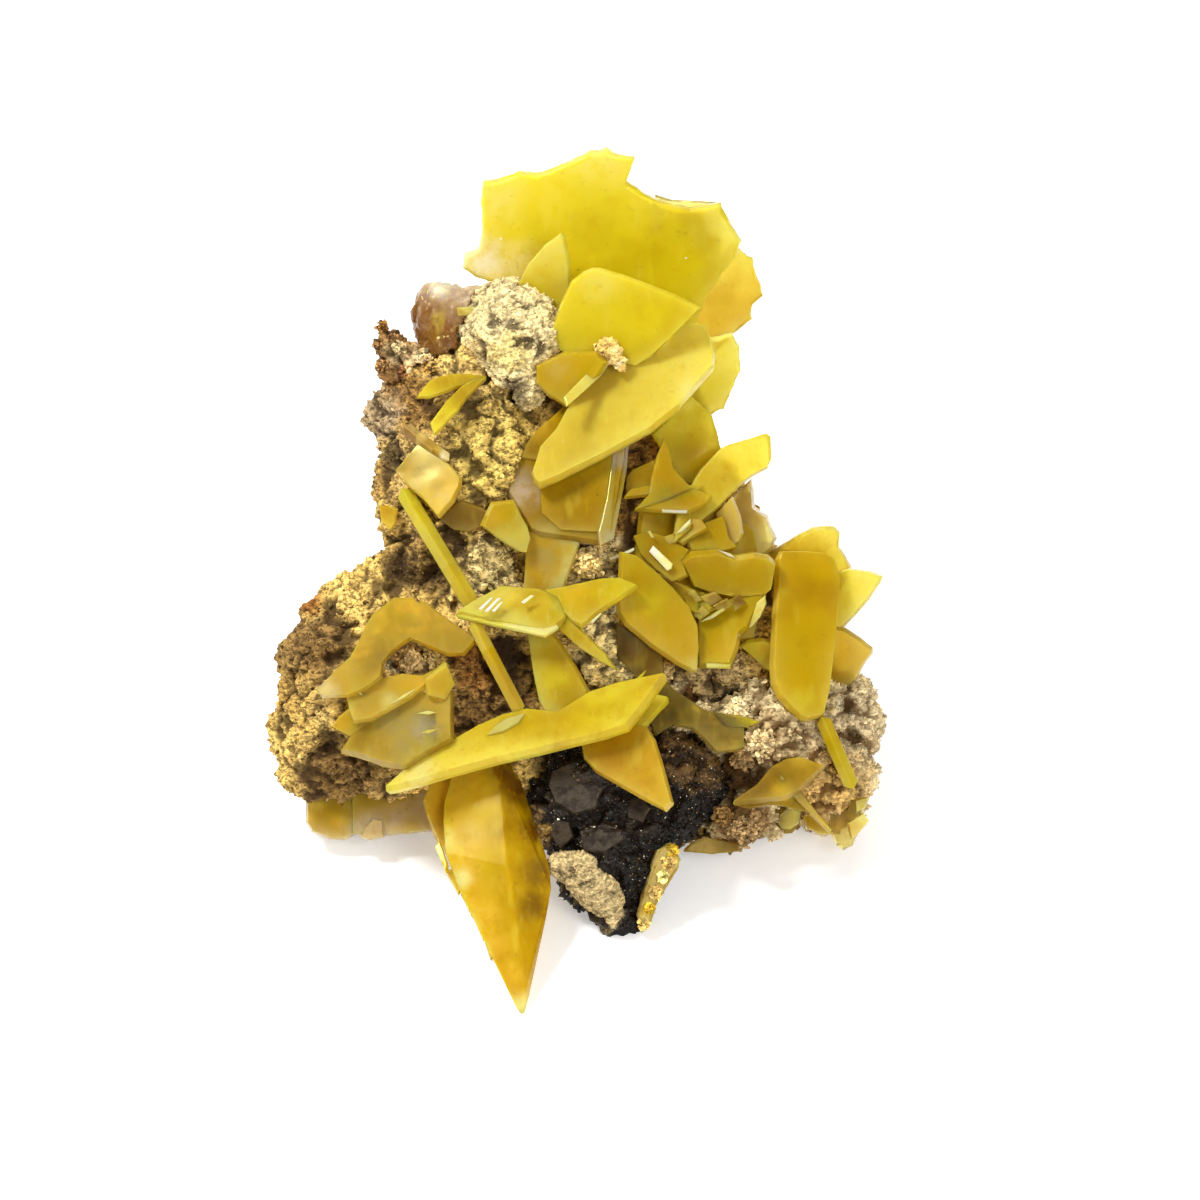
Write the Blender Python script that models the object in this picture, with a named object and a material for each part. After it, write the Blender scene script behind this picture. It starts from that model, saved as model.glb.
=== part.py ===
"""Wulfenite specimen: thin yellow tablets grown on a crusty buff rock.

Every shape is laid out on one drawing sheet. The sheet leans back, square to a line of sight that comes
down at VIEW_TILT. Its points are written (right, down) in tenths of a millimetre, and a depth in
millimetres says how far a point stands out of the sheet towards the viewer.
"""

import math
from collections import namedtuple

import bmesh
import bpy
from mathutils import Matrix, Vector, noise

# ---------------------------------------------------------------- driving sizes, metres
MM = 0.001
SHEET_STEP = 0.0001
SHEET_ZERO = (577, 850)
VIEW_TILT = math.radians(40)
GAP = 0.0003
TOOL_GROWTH = 0.00039
FLOOR_CLEARANCE = 0.00015
MERGE = 0.00001
SHARPEST = 2.5
FLAT_ANGLE = math.radians(2.5)
ROCK_CELL = 0.00115
ROCK_GRAIN = 0.0042
PLINTH_BOTTOM = -0.002
PLINTH_HEIGHT = 0.006
PLINTH_TAPER = 0.8

# ---------------------------------------------------------------- driving proportions
SMOOTHING = 0.5
NOISE_SHIFT = (1.0, 0.7, 1.3)
NOISE_RISE, NOISE_STEP, NOISE_OCTAVES = 1.0, 2.0, 4
BROAD_SHARE = 0.5
BROAD_GRAIN = 0.35
INSET_LIMIT = 0.4
BLADE_BEVEL = 0.42
BLADE_BULGE = 0.05
RIDGE_FALL = 0.2

RIGHT = Vector((1, 0, 0))
UP = Vector((0, math.sin(VIEW_TILT), math.cos(VIEW_TILT)))
TOWARDS = Vector((0, -math.cos(VIEW_TILT), math.sin(VIEW_TILT)))

Lump = namedtuple("Lump", "right down depth radii")
Backing = namedtuple("Backing", "place radii")
Rock = namedtuple("Rock", "name material faces rough lumps")
Plate = namedtuple("Plate", "material outline depth lean thick bevel")
Blade = namedtuple("Blade", "material start end depths width reach")
Gem = namedtuple("Gem", "material outline depth lean ridge height")

# Corners of a blade seen on its edge: share of its length, share of its reach back, bulge forward.
BLADE_OUTLINE = [
    (0, 0, 0), (0.3, 0, 1), (0.65, 0, 1), (1, 0, 0), (0.88, 0.6, 0), (0.7, 1, 0), (0.2, 1, 0),
    (0.04, 0.5, 0),
]

# Name: (red, green, blue, roughness)
MATERIALS = {
    "buff_rock": (0.50, 0.38, 0.22, 0.95),
    "pale_rock": (0.66, 0.57, 0.43, 0.95),
    "pale_druse": (0.68, 0.60, 0.50, 0.90),
    "dark_ore": (0.035, 0.025, 0.018, 0.70),
    "rust": (0.25, 0.10, 0.035, 0.90),
    "calcite": (0.55, 0.42, 0.33, 0.35),
    "lemon": (0.74, 0.58, 0.03, 0.25),
    "pale_lemon": (0.80, 0.68, 0.16, 0.25),
    "amber": (0.50, 0.28, 0.005, 0.22),
    "tan": (0.56, 0.37, 0.10, 0.28),
    "smoky": (0.42, 0.30, 0.08, 0.22),
    "olive": (0.32, 0.30, 0.20, 0.28),
    "honey": (0.66, 0.36, 0.05, 0.25),
}

# ---------------------------------------------------------------- rock
# Middle and corners of the ground outline, in millimetres.
PLINTH_MIDDLE = (0, 25)
PLINTH = [
    (-27, 4), (-18, 1.5), (-12, 3), (-7, 1), (-3, -3), (2, -8), (5, -9), (8, -6), (11, 0),
    (20, 1), (27, 3), (28, 12), (25, 24), (20, 36), (13, 45), (2, 49), (-9, 48), (-17, 40),
    (-23, 30), (-27, 17),
]

MATRIX_LUMPS = [
    Lump(465, 402, -2, (7.0, 8.0, 6.5)),
    Lump(425, 455, -3, (5.0, 7.0, 6.5)),
    Lump(468, 465, -1, (7.8, 9.0, 8.0)),
    Lump(400, 488, -2, (3.3, 6.0, 3.2)),
    Lump(386, 418, -4, (2.2, 4.0, 2.4)),
    Lump(458, 560, 1, (6.1, 8.0, 7.5)),
    Lump(560, 500, -6, (11.0, 10.0, 12.0)),
    Lump(600, 375, -5, (5.5, 6.0, 6.0)),
    Lump(640, 430, -8, (6.4, 9.0, 9.0)),
    Lump(640, 560, -5, (10.0, 11.0, 12.0)),
    Lump(696, 545, -8, (6.6, 9.0, 9.0)),
    Lump(372, 624, 1, (6.0, 7.0, 5.0)),
    Lump(325, 650, 2, (4.1, 6.0, 4.6)),
    Lump(339, 705, 3, (5.6, 7.0, 6.6)),
    Lump(307, 740, 2, (3.1, 5.0, 4.4)),
    Lump(390, 720, 1, (7.2, 8.0, 8.0)),
    Lump(342, 770, 1, (4.2, 5.0, 3.2)),
    Lump(490, 660, 1, (9.0, 9.0, 9.0)),
    Lump(590, 650, 1, (9.0, 9.0, 9.0)),
    Lump(440, 735, 1, (7.0, 7.0, 6.5)),
    Lump(530, 735, 2, (8.0, 8.0, 7.0)),
    Lump(700, 660, -3, (9.0, 9.0, 9.0)),
    Lump(764, 625, -6, (6.0, 8.0, 8.0)),
    Backing((-6, 33, 14), (11.5, 11, 14)),
    Backing((4, 36, 15), (11.5, 11, 14)),
    Backing((0, 40, 21), (9, 8, 10.5)),
    Backing((-18, 19, 6), (7, 12, 8.5)),
    Backing((15, 22, 6), (8, 12, 8.5)),
    Backing((0, 15, 6), (20, 15, 10)),
]
DARK_LUMPS = [
    Lump(590, 790, 7, (7.0, 6.0, 6.0)),
    Lump(665, 785, 5, (5.5, 5.0, 6.0)),
    Lump(610, 850, 8, (6.0, 5.0, 5.5)),
    Lump(588, 876, 8, (3.4, 3.5, 3.4)),
    Lump(614, 898, 8.5, (2.8, 3.2, 3.0)),
    Lump(632, 915, 8, (1.5, 2.4, 2.3)),
]
DRUSE_LUMPS = [
    Lump(690, 715, 2, (5.2, 6.0, 5.2)),
    Lump(765, 745, 2, (6.5, 7.0, 7.0)),
    Lump(820, 725, 0, (5.5, 6.0, 6.5)),
    Lump(854, 720, -1, (2.9, 5.0, 4.6)),
    Lump(832, 785, 0, (4.4, 4.5, 4.4)),
    Lump(742, 814, 3, (4.2, 3.6, 3.6)),
]
KNOB_LUMPS = [
    Lump(514, 336, 0, (5.4, 6.5, 5.4)),
    Lump(548, 348, -1, (3.0, 4.0, 4.4)),
    Lump(522, 374, 2, (3.6, 4.0, 3.0)),
]
CALCITE_LUMPS = [
    Lump(438, 312, -1, (2.6, 3.2, 3.2)),
    Lump(470, 310, -1, (3.2, 3.2, 2.7)),
    Lump(450, 345, -1, (3.0, 3.6, 3.2)),
]
PRONG_LUMPS = [
    Lump(385, 331, 0, (1.2, 1.4, 1.3)),
    Lump(392, 343, -0.5, (1.5, 1.6, 1.7)),
    Lump(404, 356, -1, (1.8, 2.0, 1.8)),
    Lump(388, 369, -1, (1.4, 1.6, 1.3)),
    Lump(424, 372, -1, (2.6, 3.0, 2.8)),
]
CRUMB_LUMPS = [
    Lump(600, 350, 5.2, (1.4, 1.2, 1.2)),
    Lump(613, 352, 5.4, (1.5, 1.4, 1.5)),
    Lump(622, 364, 5.2, (1.2, 1.2, 1.2)),
]
PATCH_LUMPS = [
    Lump(568, 864, 11.6, (1.8, 1.6, 1.2)),
    Lump(588, 868, 12.0, (2.3, 1.8, 2.1)),
    Lump(595, 884, 12.0, (2.1, 1.8, 1.9)),
    Lump(608, 898, 11.4, (1.6, 1.6, 1.9)),
]

ROCKS = [
    Rock("matrix_rock", "buff_rock", 1640, 1.35, MATRIX_LUMPS),
    Rock("dark_ore_mass", "dark_ore", 400, 1.0, DARK_LUMPS),
    Rock("pale_druse_lump", "pale_druse", 520, 1.0, DRUSE_LUMPS),
    Rock("granular_knob", "pale_rock", 230, 0.6, KNOB_LUMPS),
    Rock("calcite_knob", "calcite", 140, 0.5, CALCITE_LUMPS),
    Rock("rust_prong", "rust", 150, 0.4, PRONG_LUMPS),
    Rock("calcite_crumb", "pale_druse", 110, 0.3, CRUMB_LUMPS),
    Rock("buff_crust_patch", "buff_rock", 110, 0.3, PATCH_LUMPS),
]

# ---------------------------------------------------------------- crystals
# The depth is that of the outline's middle; lean is the depth gained per millimetre (right, up).
# Plates of one node are grown together. A node earlier in the list stands whole, and the ones
# after it stop at its faces.
CRYSTALS = {
    "long_bottom_blade": [
        Plate("lemon", [(388, 789), (410, 768), (456, 741), (480, 727), (505, 716), (530, 710),
                        (560, 713), (592, 693), (620, 684), (666, 675), (655, 692), (640, 712),
                        (628, 727), (605, 735), (580, 741), (540, 751), (500, 760), (452, 773),
                        (420, 783), (395, 789)], 13.4, (0.38, -0.8), 1.5, 0.6),
        Plate("lemon", [(628, 690), (630, 682), (646, 669), (641, 679), (640, 690)],
              11.5, (0.0, 0.0), 0.7, 0.2),
    ],
    "front_spike": [
        Gem("honey", [(445, 800), (444, 820), (446, 850), (458, 882), (470, 903), (485, 935),
                      (495, 955), (506, 978), (516, 1000), (524, 1013), (530, 992), (538, 955),
                      (547, 915), (553, 885), (550, 862), (535, 830), (520, 800), (512, 780),
                      (510, 745), (470, 740), (453, 772)], 13.0, (0.0, -0.44),
            [(500, 770), (509, 870), (518, 930), (527, 985)], 2.3),
    ],
    "upper_square_plate": [
        Plate("pale_lemon", [(571, 283), (583, 273), (592, 269), (600, 269), (620, 275),
                             (640, 282), (678, 297), (700, 309), (670, 340), (651, 358),
                             (636, 367), (600, 358), (560, 352), (550, 335), (560, 306)],
              4.7, (0.1, 0.2), 1.6, 0.6),
    ],
    "small_bevelled_plate": [
        Plate("amber", [(536, 366), (565, 352), (597, 352), (608, 363), (600, 378), (585, 392),
                        (567, 408), (549, 398), (536, 385)], 5.6, (0.12, 0.0), 2.0, 0.95),
    ],
    "long_leaning_plate": [
        Plate("lemon", [(540, 488), (534, 483), (532, 475), (540, 450), (556, 432), (570, 405),
                        (585, 375), (620, 350), (660, 335), (697, 325), (706, 328), (711, 340),
                        (715, 357), (714, 369), (700, 385), (680, 409), (650, 433), (628, 445),
                        (600, 460), (560, 480)], 5.4, (0.07, -0.52), 1.6, 0.5),
    ],
    "crown_plate": [
        Plate("lemon", [(483, 181), (500, 178), (519, 171), (537, 173), (560, 165), (590, 151),
                        (607, 148), (613, 153), (635, 158), (630, 173), (627, 181), (640, 190),
                        (660, 201), (690, 208), (720, 203), (729, 219), (742, 240), (738, 254),
                        (714, 285), (703, 305), (690, 335), (640, 352), (600, 355), (560, 335),
                        (540, 300), (505, 286), (475, 275), (462, 266), (464, 253), (478, 247),
                        (482, 225), (480, 200)], -1.6, (0.05, 0.36), 1.7, 0.5),
    ],
    "crown_back_sliver": [
        Plate("pale_lemon", [(655, 194), (672, 199), (700, 200), (722, 202), (722, 260),
                             (690, 320), (660, 330), (650, 240)], -4.0, (0.05, 0.36), 1.0, 0.3),
    ],
    "fringe_plate_upper": [
        Plate("pale_lemon", [(735, 240), (746, 252), (754, 257), (756, 268), (762, 284),
                             (764, 293), (753, 303), (753, 317), (738, 329), (715, 350),
                             (690, 385), (662, 380), (675, 320), (690, 290), (712, 262)],
              -6.0, (-0.15, 0.3), 1.3, 0.45),
    ],
    "fringe_plate_lower": [
        Plate("pale_lemon", [(732, 331), (740, 346), (741, 369), (735, 383), (724, 408),
                             (711, 414), (695, 425), (670, 415), (670, 380), (690, 350),
                             (705, 338)], -3.2, (-0.2, 0.25), 1.3, 0.45),
    ],
    "pale_wedge_plate": [
        Plate("pale_lemon", [(561, 234), (565, 238), (568, 250), (570, 265), (572, 293),
                             (566, 315), (545, 325), (520, 305), (517, 285), (530, 262),
                             (545, 245)], 1.4, (0.25, 0.3), 1.2, 0.4),
    ],
    "amber_back_plate": [
        Plate("amber", [(521, 461), (524, 449), (535, 434), (560, 412), (580, 390), (600, 400),
                        (590, 430), (560, 455), (540, 464)], 4.3, (0.07, -0.52), 1.2, 0.4),
    ],
    "smoky_centre_plate": [
        Plate("smoky", [(520, 455), (560, 435), (600, 430), (628, 442), (625, 470), (620, 500),
                        (613, 540), (600, 546), (580, 543), (540, 537), (531, 533), (520, 515),
                        (508, 495), (510, 475)], 6.4, (0.08, -0.35), 1.8, 0.8),
    ],
    "yellow_centre_plate": [
        Plate("lemon", [(492, 503), (514, 500), (520, 512), (528, 526), (531, 538), (526, 553),
                        (518, 552), (505, 544), (490, 533), (481, 526), (486, 515)],
              8.4, (-0.25, 0.2), 1.4, 0.5),
    ],
    "grey_yellow_plate": [
        Plate("smoky", [(529, 530), (560, 534), (581, 541), (575, 560), (566, 584), (560, 600),
                        (524, 600), (524, 588), (526, 555)], 6.6, (0.2, 0.2), 1.3, 0.4),
    ],
    "tan_left_plate": [
        Plate("tan", [(420, 446), (397, 473), (405, 484), (425, 501), (440, 519), (455, 503),
                      (462, 489), (463, 480), (452, 466)], 8.2, (0.25, -0.35), 1.3, 0.4),
    ],
    "brown_small_plate": [
        Plate("amber", [(441, 521), (452, 508), (462, 500), (478, 506), (492, 512), (484, 526),
                        (470, 533), (455, 531)], 8.2, (0.0, 0.1), 1.2, 0.4),
    ],
    "long_thin_blade": [Blade("lemon", (403, 489), (474, 606), (7.2, 10.6), 1.7, 6.0)],
    "left_edge_triangle": [
        Plate("tan", [(380, 505), (390, 506), (399, 509), (397, 524), (392, 531), (382, 522)],
              4.2, (0.2, 0.0), 0.9, 0.3),
    ],
    "v_blades": [
        Plate("lemon", [(487, 378), (470, 375), (455, 375), (440, 378), (430, 382), (418, 399),
                        (430, 400), (445, 395), (458, 390), (475, 386)],
              6.3, (0.1, -0.2), 1.2, 0.4),
        Plate("lemon", [(487, 380), (478, 380), (462, 388), (448, 402), (438, 415), (431, 425),
                        (435, 437), (444, 430), (452, 420), (460, 412), (468, 400), (478, 390)],
              7.2, (0.0, -0.25), 1.3, 0.3),
    ],
    "twig_blade": [Blade("tan", (404, 427), (450, 462), (5.2, 8.6), 1.3, 4.0)],
    "crossed_plates": [
        Plate("lemon", [(457, 615), (475, 602), (502, 588), (540, 591), (560, 600), (568, 620),
                        (556, 631), (546, 636), (527, 632), (490, 624)],
              11.6, (0.0, -0.6), 1.7, 0.8),
        Plate("lemon", [(545, 592), (565, 588), (600, 580), (620, 579), (638, 587), (620, 600),
                        (600, 613), (582, 628), (572, 623), (556, 610)],
              11.2, (0.1, -0.45), 1.4, 0.5),
        Plate("lemon", [(548, 607), (570, 618), (588, 635), (606, 653), (618, 670), (600, 661),
                        (580, 648), (560, 630)], 11.8, (0.15, 0.1), 1.1, 0.45),
        Plate("lemon", [(528, 628), (548, 625), (562, 642), (578, 668), (590, 690), (592, 712),
                        (562, 722), (548, 714), (540, 700), (536, 682), (532, 658)],
              10.6, (0.3, 0.0), 1.4, 0.5),
    ],
    "thin_centre_blade": [Blade("lemon", (474, 621), (522, 713), (12.0, 12.0), 1.4, 4.0)],
    "blade_companion": [
        Plate("honey", [(655, 694), (668, 697), (668, 702), (658, 712), (648, 724), (632, 738),
                        (618, 737), (610, 722), (630, 700)], 11.6, (0.1, -0.4), 1.3, 0.45),
    ],
    "amber_wedge": [
        Plate("honey", [(580, 735), (584, 757), (596, 771), (640, 796), (665, 809), (673, 801),
                        (662, 760), (655, 738), (647, 725), (620, 722), (590, 728)],
              14.4, (0.2, -0.3), 1.6, 0.6),
    ],
    "olive_plate": [
        Plate("olive", [(648, 692), (665, 680), (672, 688), (690, 700), (705, 710), (720, 712),
                        (743, 722), (743, 748), (730, 751), (715, 752), (702, 738), (690, 728),
                        (672, 725), (655, 735), (648, 722)], 9.6, (-0.15, -0.2), 1.3, 0.4),
        Plate("lemon", [(712, 711), (740, 714), (760, 721), (745, 727), (720, 726)],
              9.4, (0.0, 0.0), 0.9, 0.3),
    ],
    "spearhead_plate": [
        Plate("amber", [(619, 552), (618, 578), (616, 605), (617, 614), (625, 626), (650, 647),
                        (675, 664), (690, 672), (696, 671), (698, 650), (697, 627), (688, 607),
                        (672, 588), (655, 572), (636, 556)], 9.3, (-0.25, -0.2), 1.6, 0.6),
    ],
    "finger_plate": [
        Plate("lemon", [(720, 449), (725, 446), (745, 440), (764, 434), (770, 438), (771, 461),
                        (767, 469), (752, 477), (738, 488), (720, 507), (700, 524), (672, 545),
                        (676, 510), (700, 470)], 4.4, (-0.25, -0.3), 1.5, 0.5),
    ],
    "amber_rosette": [
        Plate("amber", [(640, 500), (700, 492), (752, 530), (764, 590), (752, 640), (690, 645),
                        (650, 610), (634, 560)], 4.9, (-0.3, -0.1), 1.8, 0.6),
        Plate("amber", [(634, 511), (648, 495), (651, 478), (656, 458), (663, 439), (668, 448),
                        (673, 470), (688, 486), (702, 487), (692, 498), (664, 504)],
              6.6, (-0.15, -0.2), 1.1, 0.3),
        Plate("amber", [(625, 497), (626, 478), (632, 470), (655, 460), (656, 486), (640, 492)],
              5.4, (0.1, 0.0), 0.9, 0.25),
        Plate("amber", [(624, 499), (630, 491), (645, 488), (668, 486), (668, 495), (646, 497)],
              6.9, (0.0, -0.4), 0.9, 0.25),
        Plate("amber", [(634, 511), (648, 501), (670, 497), (692, 490), (712, 498), (702, 508),
                        (687, 514), (660, 513)], 7.2, (0.0, -0.5), 1.0, 0.3),
        Plate("amber", [(672, 542), (676, 533), (690, 520), (702, 521), (708, 530), (694, 538),
                        (682, 546)], 7.4, (0.2, -0.4), 1.0, 0.3),
        Plate("amber", [(690, 553), (684, 541), (689, 527), (702, 524), (722, 517), (728, 540),
                        (736, 549), (720, 554)], 6.6, (-0.2, -0.3), 1.3, 0.35),
        Plate("amber", [(633, 537), (648, 531), (668, 538), (690, 551), (684, 562), (688, 576),
                        (672, 584), (655, 571), (640, 556)], 7.4, (0.15, -0.2), 1.3, 0.4),
        Plate("amber", [(680, 560), (690, 552), (716, 550), (735, 556), (752, 553), (768, 556),
                        (775, 562), (771, 587), (763, 594), (735, 596), (710, 592), (692, 585)],
              7.3, (-0.1, 0.35), 1.9, 0.6),
        Plate("amber", [(697, 620), (722, 607), (735, 600), (765, 596), (762, 606), (750, 625),
                        (740, 636), (738, 648), (730, 667), (698, 667), (696, 650)],
              7.2, (0.1, -0.4), 1.9, 0.7),
    ],
    "brown_under_plate": [
        Plate("amber", [(616, 622), (640, 636), (662, 650), (664, 672), (640, 682), (616, 656)],
              8.8, (-0.05, 0.0), 1.0, 0.35),
    ],
    "upper_back_plate": [
        Plate("amber", [(690, 395), (711, 414), (716, 430), (720, 449), (715, 472), (700, 487),
                        (680, 482), (664, 455), (650, 434), (675, 408)],
              2.9, (-0.3, 0.15), 1.5, 0.5),
    ],
    "small_standing_plate": [
        Plate("tan", [(716, 513), (732, 497), (740, 517), (743, 534), (740, 542), (731, 548),
                      (720, 535)], 5.4, (0.3, 0.1), 1.2, 0.4),
    ],
    "tan_back_crystal": [
        Plate("tan", [(752, 477), (754, 490), (755, 507), (768, 515), (777, 538), (773, 550),
                      (765, 556), (740, 560), (715, 540), (725, 505)], 0.8, (0.0, 0.0), 2.8, 1.1),
    ],
    "big_right_plate": [
        Plate("lemon", [(774, 560), (778, 552), (800, 551), (822, 553), (833, 560), (838, 575),
                        (838, 600), (833, 650), (828, 690), (822, 715), (815, 718), (804, 721),
                        (797, 718), (788, 710), (776, 697), (770, 685), (768, 665), (771, 615),
                        (773, 590)], 6.3, (-0.3, -0.25), 1.9, 0.7),
    ],
    "right_cluster_back_plate": [
        Plate("pale_lemon", [(768, 553), (785, 543), (800, 534), (812, 528), (825, 526),
                             (835, 527), (840, 532), (839, 546), (846, 556), (852, 567),
                             (838, 600), (800, 610), (770, 600)], -0.2, (-0.15, 0.4), 1.4, 0.5),
    ],
    "right_triangle_plate": [
        Plate("lemon", [(785, 585), (830, 574), (850, 568), (870, 571), (882, 576), (880, 582),
                        (868, 600), (855, 615), (843, 628), (825, 632), (785, 625)],
              2.4, (0.28, 0.0), 1.4, 0.5),
    ],
    "tan_lower_right_plate": [
        Plate("tan", [(815, 622), (845, 628), (860, 638), (872, 648), (872, 653), (865, 662),
                      (858, 675), (852, 683), (838, 690), (812, 690), (808, 640)],
              2.6, (0.2, 0.25), 1.4, 0.5),
    ],
    "right_cluster_small_plate": [
        Plate("lemon", [(740, 645), (746, 640), (762, 638), (780, 645), (797, 655), (790, 664),
                        (775, 670), (765, 668), (752, 656)], 5.6, (0.1, 0.35), 1.3, 0.4),
    ],
    "thin_lower_blade": [Blade("lemon", (820, 716), (852, 788), (8.2, 6.6), 1.5, 4.5)],
    "lower_right_group": [
        Plate("honey", [(732, 802), (740, 795), (755, 785), (770, 767), (785, 759), (800, 757),
                        (823, 766), (812, 777), (800, 789), (785, 798)],
              9.4, (0.1, -0.5), 1.2, 0.45),
        Plate("honey", [(732, 802), (748, 807), (765, 803), (780, 804), (815, 812), (800, 793),
                        (775, 788)], 8.8, (0.0, 0.3), 1.1, 0.4),
        Plate("honey", [(777, 772), (788, 780), (802, 793), (815, 810), (830, 828), (828, 832),
                        (812, 817), (795, 800), (781, 787)], 9.2, (-0.1, 0.0), 1.2, 0.25),
    ],
    "lower_right_small_plate": [
        Plate("honey", [(802, 815), (815, 811), (826, 820), (832, 834), (820, 834), (806, 828)],
              5.6, (0.0, -0.1), 1.0, 0.35),
    ],
    "lower_right_clear_plates": [
        Plate("tan", [(840, 808), (858, 806), (866, 820), (858, 832), (852, 845), (843, 850),
                      (835, 844), (828, 830), (828, 812)], 3.0, (0.0, -0.1), 1.6, 0.6),
        Plate("tan", [(850, 796), (868, 796), (866, 806), (858, 816), (846, 812)],
              3.2, (0.0, 0.0), 1.2, 0.4),
    ],
    "big_tan_plate": [
        Plate("tan", [(455, 690), (456, 741), (430, 755), (409, 769), (385, 765), (362, 757),
                      (343, 752), (350, 740), (357, 728), (372, 714), (395, 704), (420, 690),
                      (443, 697)], 10.8, (0.15, -0.35), 2.2, 0.9),
        Plate("tan", [(397, 753), (402, 738), (413, 722), (419, 712), (438, 713), (439, 724),
                      (427, 733), (440, 731), (439, 744), (424, 752), (410, 759)],
              11.7, (0.25, -0.3), 1.0, 0.25),
    ],
    "arched_plate": [
        Plate("tan", [(319, 690), (340, 668), (352, 657), (362, 638), (367, 626), (374, 615),
                      (396, 598), (416, 598), (420, 603), (427, 602), (440, 612), (470, 633),
                      (479, 640), (466, 655), (450, 656), (430, 648), (412, 640), (398, 650),
                      (386, 664), (384, 678), (368, 690), (352, 697), (336, 697), (325, 698)],
              10.6, (0.1, -0.3), 1.4, 0.5),
    ],
    "lens_plate": [
        Plate("tan", [(352, 712), (348, 695), (346, 676), (352, 668), (358, 682), (368, 691),
                      (384, 679), (405, 674), (425, 676), (441, 668), (430, 684), (415, 697),
                      (395, 708), (372, 720), (356, 722)],
              10.9, (0.1, -0.4), 1.2, 0.3),
    ],
    "spear_plate": [
        Plate("lemon", [(447, 661), (456, 682), (446, 699), (428, 694), (427, 678)],
              11.6, (-0.3, 0.2), 1.2, 0.4),
    ],
    "left_yellow_wedge": [
        Plate("lemon", [(334, 726), (341, 715), (352, 706), (372, 716), (364, 728), (352, 736)],
              10.8, (0.0, 0.0), 1.1, 0.4),
    ],
    "left_clear_plates": [
        Plate("tan", [(306, 800), (306, 822), (312, 832), (330, 839), (345, 840), (358, 834),
                      (360, 785), (320, 785)], 1.6, (0.0, 0.0), 1.8, 0.7),
        Plate("tan", [(350, 780), (352, 835), (384, 836), (432, 831), (440, 800), (445, 770)],
              1.9, (0.0, 0.0), 1.8, 0.7),
        Plate("tan", [(374, 818), (383, 820), (385, 837), (370, 840), (361, 837), (366, 826)],
              3.0, (0.0, 0.0), 1.2, 0.4),
    ],
    "spike_side_plate": [
        Plate("honey", [(424, 800), (430, 785), (440, 768), (475, 765), (475, 845), (446, 850),
                        (440, 845), (434, 832), (428, 815)], 7.9, (0.0, -0.44), 1.6, 0.5),
    ],
    "ore_edge_strip": [
        Plate("tan", [(654, 846), (670, 840), (680, 857), (677, 868), (668, 882), (656, 902),
                      (650, 922), (641, 930), (636, 912), (641, 888), (648, 866)],
              10.2, (-0.2, 0.0), 2.0, 0.6),
    ],
}


def on_sheet(right, down, depth_mm=0.0):
    """World place of a sheet point."""
    across = (right - SHEET_ZERO[0]) * SHEET_STEP
    along = (SHEET_ZERO[1] - down) * SHEET_STEP
    return RIGHT * across + UP * along + TOWARDS * (depth_mm * MM)


def material(name):
    """The plain material of that name, made once."""
    if name in bpy.data.materials:
        return bpy.data.materials[name]
    red, green, blue, roughness = MATERIALS[name]
    made = bpy.data.materials.new(name)
    made.use_nodes = True
    shader = made.node_tree.nodes["Principled BSDF"]
    shader.inputs["Base Color"].default_value = (red, green, blue, 1)
    shader.inputs["Roughness"].default_value = roughness
    shader.inputs["Metallic"].default_value = 0
    made.diffuse_color = (red, green, blue, 1)
    return made


def place(mesh_builder, name, material_name=None):
    """Turn a bmesh into a named object with one material."""
    for face in mesh_builder.faces:
        face.material_index = 0
    mesh = bpy.data.meshes.new(name)
    mesh_builder.to_mesh(mesh)
    mesh_builder.free()
    made = bpy.data.objects.new(name, mesh)
    bpy.context.scene.collection.objects.link(made)
    if material_name:
        mesh.materials.append(material(material_name))
    return made


def evaluated(source):
    """A bmesh of the object with its modifiers applied; the object is removed."""
    bpy.context.view_layer.update()
    shape = bmesh.new()
    shape.from_object(source, bpy.context.evaluated_depsgraph_get())
    bpy.data.objects.remove(source)
    return shape


def largest_body(shape):
    """Keep only the biggest connected piece of a bmesh."""
    left = set(shape.verts)
    bodies = []
    while left:
        front = [left.pop()]
        body = set(front)
        while front:
            for edge in front.pop().link_edges:
                for vert in edge.verts:
                    if vert not in body:
                        body.add(vert)
                        front.append(vert)
        left -= body
        bodies.append(body)
    bodies.sort(key=len)
    for body in bodies[:-1]:
        bmesh.ops.delete(shape, geom=list(body), context="VERTS")


def cut_level(shape, height):
    """Cut a closed bmesh flat at a height and close it there."""
    geom = list(shape.verts) + list(shape.edges) + list(shape.faces)
    cut = bmesh.ops.bisect_plane(
        shape, geom=geom, plane_co=(0, 0, height), plane_no=(0, 0, 1), clear_inner=True
    )
    rim = [item for item in cut["geom_cut"] if isinstance(item, bmesh.types.BMEdge)]
    bmesh.ops.triangle_fill(shape, use_beauty=True, edges=rim)


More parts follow.
